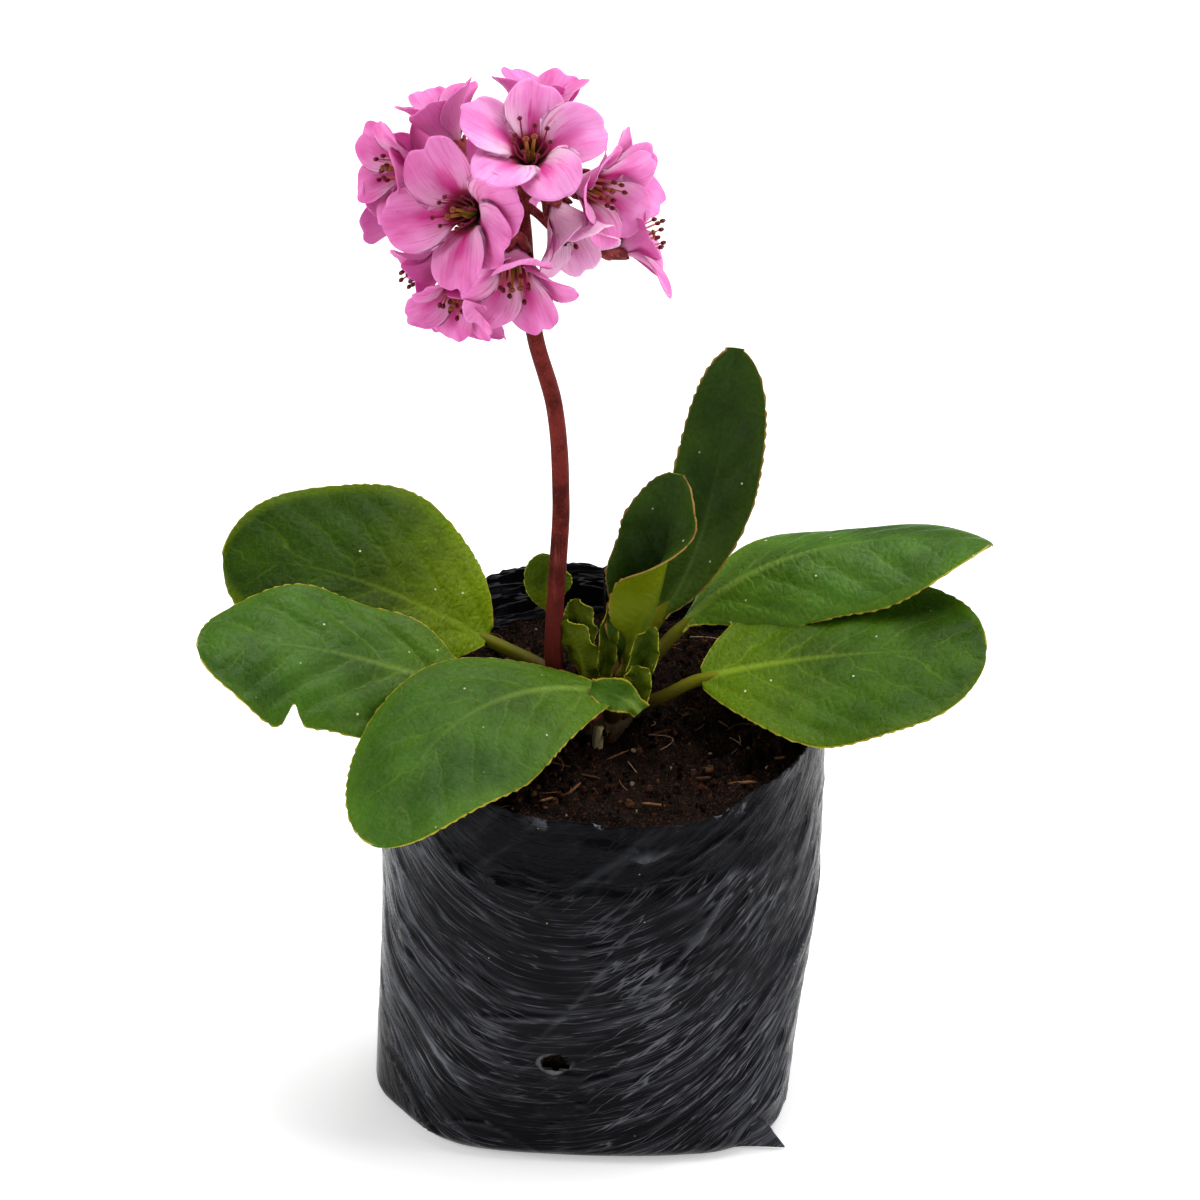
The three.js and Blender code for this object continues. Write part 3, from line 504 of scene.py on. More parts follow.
def stamen_skin():
    """Filaments that redden to dark anthers, and the ochre green ovary with its stigmas."""
    s = Shader("stamen", Subsurface_Weight=0.1, Subsurface_Scale=0.0008, Specular_IOR_Level=0.15)
    along, female, pale = s.values("along", "female", "pale")
    grain = s.noise(s.place(), 2600.0, 3.0, 0.7)
    red = s.mix(s.ease(along, 0.05, 0.75), (0.42, 0.06, 0.1), (0.3, 0.02, 0.1))
    cream = s.mix(s.ease(along, 0.1, 0.8), (0.62, 0.4, 0.24), (0.55, 0.2, 0.16))
    filament = s.mix(pale, red, cream)
    anther = s.mix(s.ease(grain, 0.35, 0.7), (0.075, 0.006, 0.01), (0.19, 0.018, 0.026))
    ovary = s.mix(s.ease(along, 0.1, 0.7), (0.16, 0.17, 0.03), (0.42, 0.22, 0.035))
    ovary = s.mix(s.ease(along, 0.9, 1.0), ovary, (0.22, 0.06, 0.02))
    colour = s.coats(
        filament,
        (s.ease(along, 0.985, 1.0), anther), (female, ovary),
        (s.ease(grain, 0.5, 0.8, 0.0, 0.3), (0.65, 0.42, 0.2)))
    return s.done(Base_Color=colour, Roughness=s.ease(grain, 0.2, 0.8, 0.3, 0.6),
                  Normal=s.bump(grain, 0.12, 0.8))


def film_skin():
    """Black polythene: dark and glossy, with painted sheen and painted hairline highlights along wrinkles that
    hang between its sides.
    """
    s = Shader("polythene", Specular_IOR_Level=0.04)
    around, height, crease = s.values("around_mm", "height_mm", "crease")
    aside = around + 8.0
    hanging = height + aside * aside * -0.0115
    rising = height + around * -0.85
    falling = height + around * 0.62
    left, right = s.ease(around, -8.0, -40.0), s.ease(around, 0.0, 40.0)

    # Painted sheen: soft pale streaks along the wrinkles, where light would shine on them.
    def haze(across, fine, seed):
        where = s.at((around + height * 0.6) * 0.022, across * fine, seed)
        return s.ease(s.noise(where, 1.0, 5.0, 0.6, 0.15), 0.5, 0.76)

    # Painted highlights: pale hairlines along the wrinkles.
    def hairs(across, fine, seed):
        where = s.at((around + height * 0.6) * 0.03, across * fine, seed)
        gap = abs(s.noise(where, 1.0, 3.0, 0.5, 0.12) - 0.5)
        return s.ease(gap, 0.022, 0.002)

    clouds = s.ease(s.noise(s.place(), 38.0, 3.0, 0.55), 0.4, 0.64)
    other = s.ease(s.noise(s.place(), 60.0, 3.0, 0.5), 0.42, 0.6)
    # pale is painted sheen and thin is painted hairline highlights; both grow stronger towards the sides, where
    # the film turns away and would reflect more.
    sides = s.most(left, right)
    pale = s.most(haze(hanging, 0.42, 0.0) * (sides * 0.75 + 0.25),
                  s.most(haze(rising, 0.34, 8.0) * right, haze(falling, 0.34, 4.0) * left))
    thin = s.most(hairs(hanging, 0.6, 11.0) * (sides * 0.5 + 0.5),
                  s.most(hairs(rising, 0.22, 17.0) * (other * s.ease(around, -24.0, 20.0)),
                         hairs(falling, 0.22, 14.0) * (clouds * left)))
    rear = s.ease(abs(around), 60.0, 92.0)
    fore = 1.0 - rear
    # At the back, painted sheen and painted hairline highlights follow a plain noise.
    rear_haze = s.ease(s.noise(s.place((0.09, 0.09, 1.0)), 300.0, 4.0, 0.6, 0.1), 0.5, 0.76)
    rear_gap = s.noise(s.place((0.12, 0.12, 1.0)), 420.0, 3.0, 0.5, 0.1)
    rear_hair = s.ease(abs(rear_gap - 0.5), 0.022, 0.002)
    pale = pale * fore + rear_haze * rear
    thin = thin * fore + rear_hair * rear
    belt = s.ease(height, 62.0, 68.0) * s.ease(abs(around), 44.0, 28.0)
    calm = s.ease(belt, 0.0, 1.0, 1.0, 0.06)
    # Painted sheen, patchy and quieter in the glossy belt.
    painted_sheen = pale * (clouds * 0.82 + 0.18) * calm
    # Painted reflection: faint broad pale patches in the glossy belt.
    belt_reflection = haze(rising, 0.11, 23.0) * belt
    lit_rim = s.ease(height, 77.0, 80.5) * s.ease(abs(around - 9.0), 26.0, 12.0)
    glints = s.ease(s.noise(s.place(), 170.0, 4.0, 0.7), 0.54, 0.62) * lit_rim
    hole_x = (around + 5.25) * (2 / DRAIN_HOLE["width"])
    hole_z = (height - DRAIN_HOLE["rise"]) * (2 / DRAIN_HOLE["height"])
    from_hole = s.math("SQRT", hole_x * hole_x + hole_z * hole_z)
    ring = s.ease(abs(from_hole - 1.1), 0.22, 0.04) * other
    dust = s.ease(s.noise(s.place(), 210.0, 5.0, 0.72), 0.5, 0.8)
    grains = s.ease(s.cells(s.at(around, height), 0.16), 0.03, 0.014)
    # Over the black go painted sheen, painted hairline highlights, painted highlights on crease ridges, a
    # painted reflection in the belt and painted glints on the lit rim; the dust and the soil grains are the
    # film's own.
    colour = s.coats(
        (0.003, 0.003, 0.0042),
        (painted_sheen * 0.85, (0.19, 0.195, 0.23)), (thin * (clouds * 0.3 + 0.22) * calm, (0.25, 0.255, 0.29)),
        # Painted highlights: the crease ridges paler, as if they caught the light.
        (s.ease(crease, 0.15, 0.95) * 0.3, (0.17, 0.175, 0.2)), (belt_reflection * 0.22, (0.1, 0.105, 0.12)),
        (glints * 0.6, (0.3, 0.31, 0.35)), (ring * 0.6, (0.24, 0.23, 0.24)),
        (dust * 0.16, (0.045, 0.04, 0.036)), (grains * 0.9, (0.5, 0.42, 0.3)))
    relief = pale + thin * 0.6 + s.noise(s.place(), 1400.0, 3.0, 0.6) * 0.05
    return s.done(Base_Color=colour, Roughness=s.ease(dust * 0.5 + pale, 0.2, 1.2, 0.13, 0.36),
                  Normal=s.bump(relief, 0.5, 0.7))


def soil_skin():
    """Damp potting soil: nearly black between crumbs that vary from dark to reddish brown; the reddish speckle
    is partly painted highlight, and the glints are painted.
    """
    s = Shader("soil", Specular_IOR_Level=0.06)
    tint, pick = s.values("tint", "pick")
    coarse = s.noise(s.place(), 420.0, 5.0, 0.7)
    fine = s.noise(s.place(), 2100.0, 4.0, 0.75)
    glint = s.ease(s.cells(s.place(), 1500.0), 0.2, 0.1)
    bark = s.mix(s.ease(pick, 0.0, 1.0), (0.06, 0.02, 0.009), (0.3, 0.135, 0.06))
    colour = s.coats(
        (0.0022, 0.0014, 0.001),
        (s.ease(coarse, 0.35, 0.7), (0.012, 0.0065, 0.004)),
        # Reddish speckle, partly the crumbs' own colour and partly painted highlight; then painted glints.
        (s.ease(fine, 0.54, 0.63, 0.0, 0.95), (0.09, 0.037, 0.021)), (glint * 0.35, (0.16, 0.085, 0.05)),
        (s.ease(tint, 0.0, 0.5), bark), (s.ease(tint, 0.6, 1.0), (0.6, 0.47, 0.3)))
    return s.done(Base_Color=colour, Roughness=s.ease(fine, 0.3, 0.7, 0.6, 0.95),
                  Normal=s.bump(coarse + fine * 0.5, 1.8, 1.0))


def root_skin(name, main, dark, light):
    """Woody, fibrous rootstock."""
    s = Shader(name, Specular_IOR_Level=0.3)
    fibre = s.noise(s.place((1, 1, 0.2)), 900.0, 5.0, 0.7)
    clouds = s.noise(s.place(), 300.0, 4.0, 0.6)
    tint = s.value("tint")
    colour = s.coats(
        main,
        (s.ease(clouds, 0.35, 0.7), dark), (s.ease(fibre, 0.5, 0.75, 0.0, 0.7), light),
        (tint, (0.42, 0.035, 0.09)))
    return s.done(Base_Color=colour, Roughness=s.ease(fibre, 0.2, 0.8, 0.55, 0.85),
                  Normal=s.bump(fibre, 0.4, 0.9))


# ---- The bag

BAG_RADIUS = 45
RIM_HEIGHT, RIM_TILT = 87.5, 7.5
BASE_ROUNDING, BASE_INSET = 4, 3
BASE_OUTLINE = [
    (38, -4), (36, 16), (23, 33), (-2, 38.5), (-27, 34), (-44, 14),
    (-47.5, -8), (-43, -20), (-31, -33.5), (-8, -38.3), (16, -38.3), (34, -33),
]
FILM = 0.35
DRAIN_HOLE = {"width": 6, "height": 4.4, "rise": 24.5}
DRAIN_HOLE_SIDES = (-97, 83)
AROUND_RADIUS = 43
SEAM_EAR = ((17, 0), (37.6, 0.3), (33.6, 6.6), (22, 12))
EAR_TURN, EAR_FOOT, EAR_FILM = math.radians(4), (-0.6, -35.2, 0.2), 0.45


def base_outline(angle):
    """Plan of the side just above the base: a closed smooth curve through the outline's points."""
    p = np.array(BASE_OUTLINE, float)
    place = (np.asarray(angle, float) / TAU % 1) * len(p)
    i = np.floor(place).astype(int)
    t = (place - i)[..., None]
    a, b, c, d = (p[(i + k) % len(p)] for k in (-1, 0, 1, 2))
    return hermite(b, c, (c - a) / 2, (d - b) / 2, t)


def rim_height(angle):
    return (RIM_HEIGHT + RIM_TILT * np.sin(angle - 0.12) + 1.0 * np.sin(3 * angle + 2.2)
            + 0.5 * np.sin(7 * angle))


def bag_point(angle, z, inset=0.0):
    angle, z = np.broadcast_arrays(np.asarray(angle, float), np.asarray(z, float))
    up = np.clip(z / rim_height(angle), 0, 1)
    low = base_outline(angle)
    high = BAG_RADIUS * np.stack([np.cos(angle), np.sin(angle)], -1)
    plan = lerp(low, high, (np.sin(up * math.pi / 2) ** 0.9)[..., None])
    turned = np.maximum(0, 1 - z / BASE_ROUNDING)
    relief = np.sin(math.pi * up) * (0.55 * np.sin(5 * angle + 5 * up) + 0.45 * np.sin(8 * angle - 7 * up + 1))
    reach = np.linalg.norm(plan, axis=-1)
    plan = plan * ((reach + relief - inset - BASE_INSET * turned**2) / reach)[..., None]
    return np.concatenate([plan, z[..., None]], -1)


def creases(around, height, count, slope, spread, length, depth, seed):
    """Sharp little folds in the film. slope(x) gives how steeply they climb."""
    pick = np.random.default_rng(seed)
    total = np.zeros_like(around)
    for _ in range(count):
        x, z = pick.uniform(-140, 140), pick.uniform(2, 92)
        angle = slope(x) + pick.normal(0, spread)
        reach = length * pick.uniform(0.5, 1.5)
        width = pick.uniform(0.7, 1.7)
        rise = depth * pick.uniform(0.3, 1.0) * pick.choice((-0.7, 1))
        bow = pick.normal(0, 0.012)
        near = np.abs(around - x) < reach + 3
        dx, dz = around[near] - x, height[near] - z
        along, off = turned(dx, dz, -angle)
        off = off - bow * along**2
        ends = np.clip(1 - (along / reach) ** 2, 0, 1) ** 1.5
        total[near] += rise * ends * np.clip(1 - np.abs(off) / (width * (0.4 + 0.6 * ends)), 0, 1) ** 1.4
    return total


def hard_fold(around, height, x, z, turn, reach):
    """One straight crease through a place."""
    along, off = turned(around - x, height - z, -turn)
    return 0.5 * np.clip(1 - np.abs(along) / reach, 0, 1) * np.clip(1 - np.abs(off) / 0.8, 0, 1)


def crumple(around, height):
    """How far the film stands out, in millimetres. around runs from the front, rightwards positive."""
    side = np.abs(around)

    def hanging(x):
        return math.atan(float(np.clip(0.023 * (x + 8), -0.9, 1.2)))

    def crossing(x):
        return -0.55 if x < -20 else 0.7

    def back(x):
        return 0.25 * math.sin(x / 19) + 0.1

    x = around
    front = 1 - smooth(48, 66, side)
    fine = creases(x, height, 640, hanging, 0.14, 9, 0.62, 3) * (0.35 + 0.65 * front)
    bold = creases(x, height, 90, hanging, 0.2, 20, 1.25, 5) + creases(x, height, 50, crossing, 0.3, 22, 1.1, 9)
    star = sum(hard_fold(x, height, 7.6, 72.5, turn, reach)
               for turn, reach in ((0.12, 7), (0.7, 10), (1.3, 6), (2.2, 8), (2.9, 11)))
    rear = creases(x, height, 260, back, 0.5, 11, 0.6, 8) * smooth(60, 95, side)
    waves = noise(x / 16, height / 2.3, 2) + 0.6 * noise(x / 9 + height / 14, height / 1.5, 6)
    belt = smooth(62, 30, np.abs(height - 45)) * (1 - smooth(28, 60, side) * 0.7)
    slack = 0.55 * noise(x / 22 - height / 45, height / 30 + x / 60, 11)
    sag = height - 65 - 0.0026 * (x + 2) ** 2 - 2.2 * noise(x / 13, 0, 4) - 0.9 * noise(x / 4, 0, 9)
    swell = (0.45 + 0.5 * noise(x / 7, 0, 2)) * hump(sag - 0.9, 0.8)
    fold = (swell - 1.5 * hump(sag + 0.7, 1.1)) * (1 - smooth(22, 36, np.abs(x + 2)))
    steady = 1 - 0.75 * hump(side - 67, 15)
    return (fine + bold + rear) * steady + star + 0.32 * waves * belt + slack + fold


def bag():
    body = Body()
    sides, rows = 360, 132
    turn = np.linspace(-math.pi, math.pi, sides, endpoint=False)[None, :]
    angle = -math.pi / 2 + turn - 0.15 * np.sin(turn)
    share = np.concatenate([np.linspace(0, 0.06, 10, endpoint=False), np.linspace(0.06, 1, rows - 10)])[:, None]
    ragged = 0.35 * noise(angle * 24, 0, 3) + 0.25 * noise(angle * 60, 0, 4)
    ragged = ragged - 0.9 * np.clip(noise(angle * 9, 0, 8) - 0.45, 0, 1)
    top = rim_height(angle) + ragged
    z = share * top
    around = (angle + math.pi / 2) * AROUND_RADIUS * np.ones_like(z)
    stand = crumple(around, z * np.ones_like(around))
    keep = smooth(0, 5, z) * (1 - 0.55 * smooth(0.93, 1, share))
    clear = np.where(stand < 0, stand * 0.55, stand)
    tucked = 2.4 * hump(angle + 0.62, 0.22) * smooth(11, 4, z)
    outer = bag_point(angle, z, tucked - keep * clear)
    lip = 0.6 * noise(angle * 7, 0, 5) * smooth(0.94, 1, share)
    outward = unit(outer * np.array([1, 1, 0]))
    outer = outer + outward * lip[..., None]
    inner = outer - outward * FILM
    inner[..., 2] = np.maximum(inner[..., 2], 0.15)
    # How far each ridge stands out; the film's shader paints a highlight along the ridges from it.
    sharp = np.maximum(clear, 0) / 1.3
    outer, holes = punched(outer)
    faces = quads(rows, sides, wrap=True)
    shut = ~holes.ravel()[faces].any(axis=1)
    low = rows * sides
    k = np.arange(sides)
    after = (k + 1) % sides
    points = np.vstack([outer.reshape(-1, 3), inner.reshape(-1, 3), [[-3, 0, 0], [-3, 0, 0.3]]])
    floor = np.stack([after, k, np.full(sides, 2 * low)], -1)
    ceiling = np.stack([k + low, after + low, np.full(sides, 2 * low + 1)], -1)
    faces = [faces[shut], faces[shut][:, ::-1] + low, brim(sides, low), floor, ceiling]
    at_points = {"around_mm": around, "height_mm": z, "crease": sharp}
    body.add(points, faces, **{key: np.append(np.tile(v.ravel(), 2), [0, 0]) for key, v in at_points.items()})
    ear(body)
    body.piece("film_bag", film_skin(), "film", "grow_bag")


def punched(points):
    """The film's points, drawn to the edges of the drain holes, and which of them fall inside."""
    cut = np.zeros(points.shape[:2], bool)
    for degrees in DRAIN_HOLE_SIDES:
        a = math.radians(degrees)
        centre = bag_point(a, DRAIN_HOLE["rise"])
        level = heading(a + math.pi / 2)
        across = (points - centre) @ level
        rise = points[..., 2] - DRAIN_HOLE["rise"]
        facing = (points @ heading(a)) > 0
        turn = np.arctan2(rise, across)
        edge = 1 + 0.1 * np.sin(3 * turn + degrees) + 0.06 * np.sin(7 * turn)
        size = np.hypot(across / (DRAIN_HOLE["width"] / 2), rise / (DRAIN_HOLE["height"] / 2)) / edge
        near = facing & (size > 0.76) & (size < 1.2)
        pull = np.where(near, 1 / np.maximum(size, 0.5) - 1, 0)
        points = points + (pull * across)[..., None] * level + (pull * rise)[..., None] * UP
        cut |= facing & (size <= 0.76)
    return points, cut


def ear(body):
    """The corner of the bottom seam, folded flat against the bag and sticking out past it."""
    p = np.array(SEAM_EAR, float)
    s, t = np.meshgrid(steps(18), steps(22), indexing="ij")
    x = lerp(lerp(p[0, 0], p[1, 0], t), lerp(p[3, 0], p[2, 0], t), s)
    z = lerp(lerp(p[0, 1], p[1, 1], t), lerp(p[3, 1], p[2, 1], t), s)
    y = 0.5 * np.sin(3 * t + 2 * s) - 0.35 * noise(t * 5, s * 4, 2) - 0.5 * smooth(0.5, 1, t) * (1 - s)
    grid = np.stack([*turned(x, y, EAR_TURN), z], -1) + EAR_FOOT
    # Its crease value gives the whole ear a faint painted ridge highlight.
    sheet(body, grid, EAR_FILM, normals_of(grid), around_mm=x, height_mm=z, crease=0.5)


# ---- The soil

SOIL_LEVEL, SOIL_SLOPE, SOIL_LUMP = 81.2, 0.07, 0.7
SOIL_MOUND = {"height": 1.2, "radius": 14}
BELOW_RIM = 0.8


def soil_height(x, y):
    mound = SOIL_MOUND["height"] * hump(np.hypot(x, y), SOIL_MOUND["radius"])
    lumps = (np.sin(0.55 * x + 1.3) * np.sin(0.47 * y - 0.4) + 0.6 * np.sin(0.31 * x - 0.62 * y + 2)
             + 0.4 * np.sin(1.1 * x + 0.7 * y))
    return SOIL_LEVEL + SOIL_SLOPE * y + mound + SOIL_LUMP * lumps


def crumbs(x, y):
    """Fine relief of the soil's surface."""
    ridged = 1 - np.abs(noise(x / 2.1, y / 2.1, 1))
    small = 1 - np.abs(noise(x / 0.9, y / 0.9, 2))
    return 1.7 * (ridged - 0.75) + 1.6 * (small - 0.7) + 1.1 * noise(x / 4.5, y / 4.5, 3)


def soil():
    body = Body()
    sides, rings = 250, 96
    angle = turns(sides)
    edge = bag_point(angle, SOIL_LEVEL, 1.2)[..., :2]
    share = np.linspace(1, 0.012, rings)[:, None, None]
    plan = edge * share
    x, y = plan[..., 0], plan[..., 1]
    z = soil_height(x, y) + crumbs(x, y) * smooth(1.0, 0.96, share[..., 0])
    z = np.minimum(z, rim_height(angle) - BELOW_RIM)
    top = np.stack([x, y, z], -1)
    levels = np.array([1.0, 12, 40, 70, 79])[:, None]
    wall = bag_point(angle, np.minimum(levels, top[0, :, 2] - 1), lerp(4.5, 1.1, smooth(1, 30, levels)))
    grid = np.concatenate([wall, top])
    points = np.vstack([grid.reshape(-1, 3), [[-3, 0, 1.0]], [[0, 0, top[-1, :, 2].mean()]]])
    body.add(points, [quads(len(grid), sides, wrap=True), *fans(sides, len(grid) * sides)], tint=0, pick=0)
    scatter(body)
    body.piece("potting_soil", soil_skin(), "earth", "soil")


def spot(reach=0.93):
    """A random place on the soil, and the height of the surface there."""
    angle, share = dice.uniform(0, TAU), math.sqrt(dice.uniform(0, 1)) * reach
    x, y, _ = bag_point(angle, SOIL_LEVEL, 2.5) * share
    return np.array([x, y, float(soil_height(x, y) + 0.5 * crumbs(x, y))])


def scatter(body):
    """Crumbs, bark, fibres and a few pale grains on the soil."""
    for k in range(800):
        size = dice.uniform(0.25, 0.95) ** 1.5
        radii = size * dice.uniform(0.6, 1.2, 3)
        tint = dice.choice((0, 0, 0, 0.35, 0.5))
        ball(body, spot() + UP * 0.25 * size, radii, rings=5, sides=7, lump=0.6, seed=k, tint=tint,
             pick=dice.uniform(0, 0.6))
    for k in range(34):
        centre = spot()
        turn, lean = dice.uniform(0, TAU), dice.uniform(-0.3, 0.4)
        reach = heading(turn, lean) * dice.uniform(1.2, 3.2)
        line = centre + UP * 0.5 + np.linspace(-1, 1, 5)[:, None] * reach
        width = dice.uniform(0.18, 0.42) * np.array([0.5, 1, 0.9, 1.1, 0.3])
        tube(body, line, width, 5, tint=0.5, pick=dice.uniform(0.2, 1))
    for k in range(44):
        centre = spot()
        turn, bow = dice.uniform(0, TAU), dice.normal(0, 0.8)
        t = np.linspace(-1, 1, 9)[:, None]
        way = heading(turn) * dice.uniform(1.5, 4)
        line = centre + UP * (0.7 + 0.5 * dice.uniform(-1, 1) * t) + way * t
        line = line + np.array([-way[1], way[0], 0]) * bow * (t * t - 0.4)
        tube(body, line, dice.uniform(0.06, 0.12), 4, tint=dice.choice((0.4, 0.5, 0.8)),
             pick=dice.uniform(0.4, 1))
    for k in range(16):
        ball(body, spot() + UP * 0.3, dice.uniform(0.2, 0.5, 3), rings=4, sides=6, lump=0.4, seed=k, tint=1,
             pick=1)


# ---- The crown and the root

CROWN_CENTRE, CROWN_RADII = np.array([-1, 1, 81.5]), np.array([8.6, 7.4, 7.6])
BUDS = (((-6.5, -3.6, 86.6), (-0.2, -0.5, 1), 1.3), ((-3.0, -6.6, 84.4), (0.9, -0.3, 0.4), 1.1))
ROOT_COURSE = [(-1.4, -9.6, 77.5), (-1.2, -9.6, 79.5), (-1, -9.4, 81.5), (-0.8, -9.2, 83.8)]


def crown():
    body = Body()
    polar = np.linspace(0.02, math.pi - 0.02, 44)[:, None]
    angle = turns(72)
    scales = 0.05 * np.abs(np.sin(5 * angle + 3 * polar)) + 0.05 * noise(angle * 5, polar * 6, 3)
    shape = globe(polar, angle) * (0.93 + scales)[..., None] * CROWN_RADII + CROWN_CENTRE
    body.add(shape, [quads(44, 72, wrap=True, flip=True)], tint=0)
    for place, way, size in BUDS:
        line = np.array(place) + unit(np.array(way)) * np.linspace(-1.5, 3.2, 12)[:, None]
        tube(body, line, size * np.sin(np.linspace(0.5, math.pi, 12)) ** 0.7 * 0.9, 12, tint=1)
    skin = root_skin("rootstock", (0.10, 0.065, 0.025), (0.05, 0.03, 0.012), (0.30, 0.22, 0.09))
    body.piece("rootstock_crown", skin, "rootstock", "crown")


def root():
    body = Body()
    line, _ = bezier(ROOT_COURSE, steps(24))
    angle = turns(20)
    t = steps(24)[:, None]
    radius = 1.18 + 0.12 * noise(angle * 3, t * 2, 5) - 0.25 * t + 0.1 * np.sin(6 * angle)
    tube(body, line, radius, 20, tint=0)
    skin = root_skin("pale_root", (0.50, 0.40, 0.20), (0.30, 0.22, 0.10), (0.72, 0.62, 0.40))
    body.piece("snapped_root", skin, "pale_root", "root_stub")


# ---- The leaves

WIDEST_AT = 0.56
BIG = {"rows": 160, "columns": 42, "teeth": 2.9, "stalk": 3.2, "sheath": 1.25, "vein": 11.0, "pucker": 0.5}
SMALL = {"rows": 64, "columns": 24, "teeth": 1.5, "stalk": 1.7, "sheath": 1.3, "vein": 4.0, "pucker": 0.16}


def half(width, lift, curl, **more):
    """One side of a blade. It stands and curls by two angles each, at its foot and at its tip."""
    return {"width": width, "lift": lift, "curl": curl, **more}


def leaf(kind, skin, petiole, midrib, face, left, right, **more):
    """A leaf's stalk and midrib as points, the way it faces at both ends, and its two sides."""
    return {**kind, "skin": skin, "petiole": petiole, "midrib": midrib, "face": face, "left": left,
            "right": right, **more}


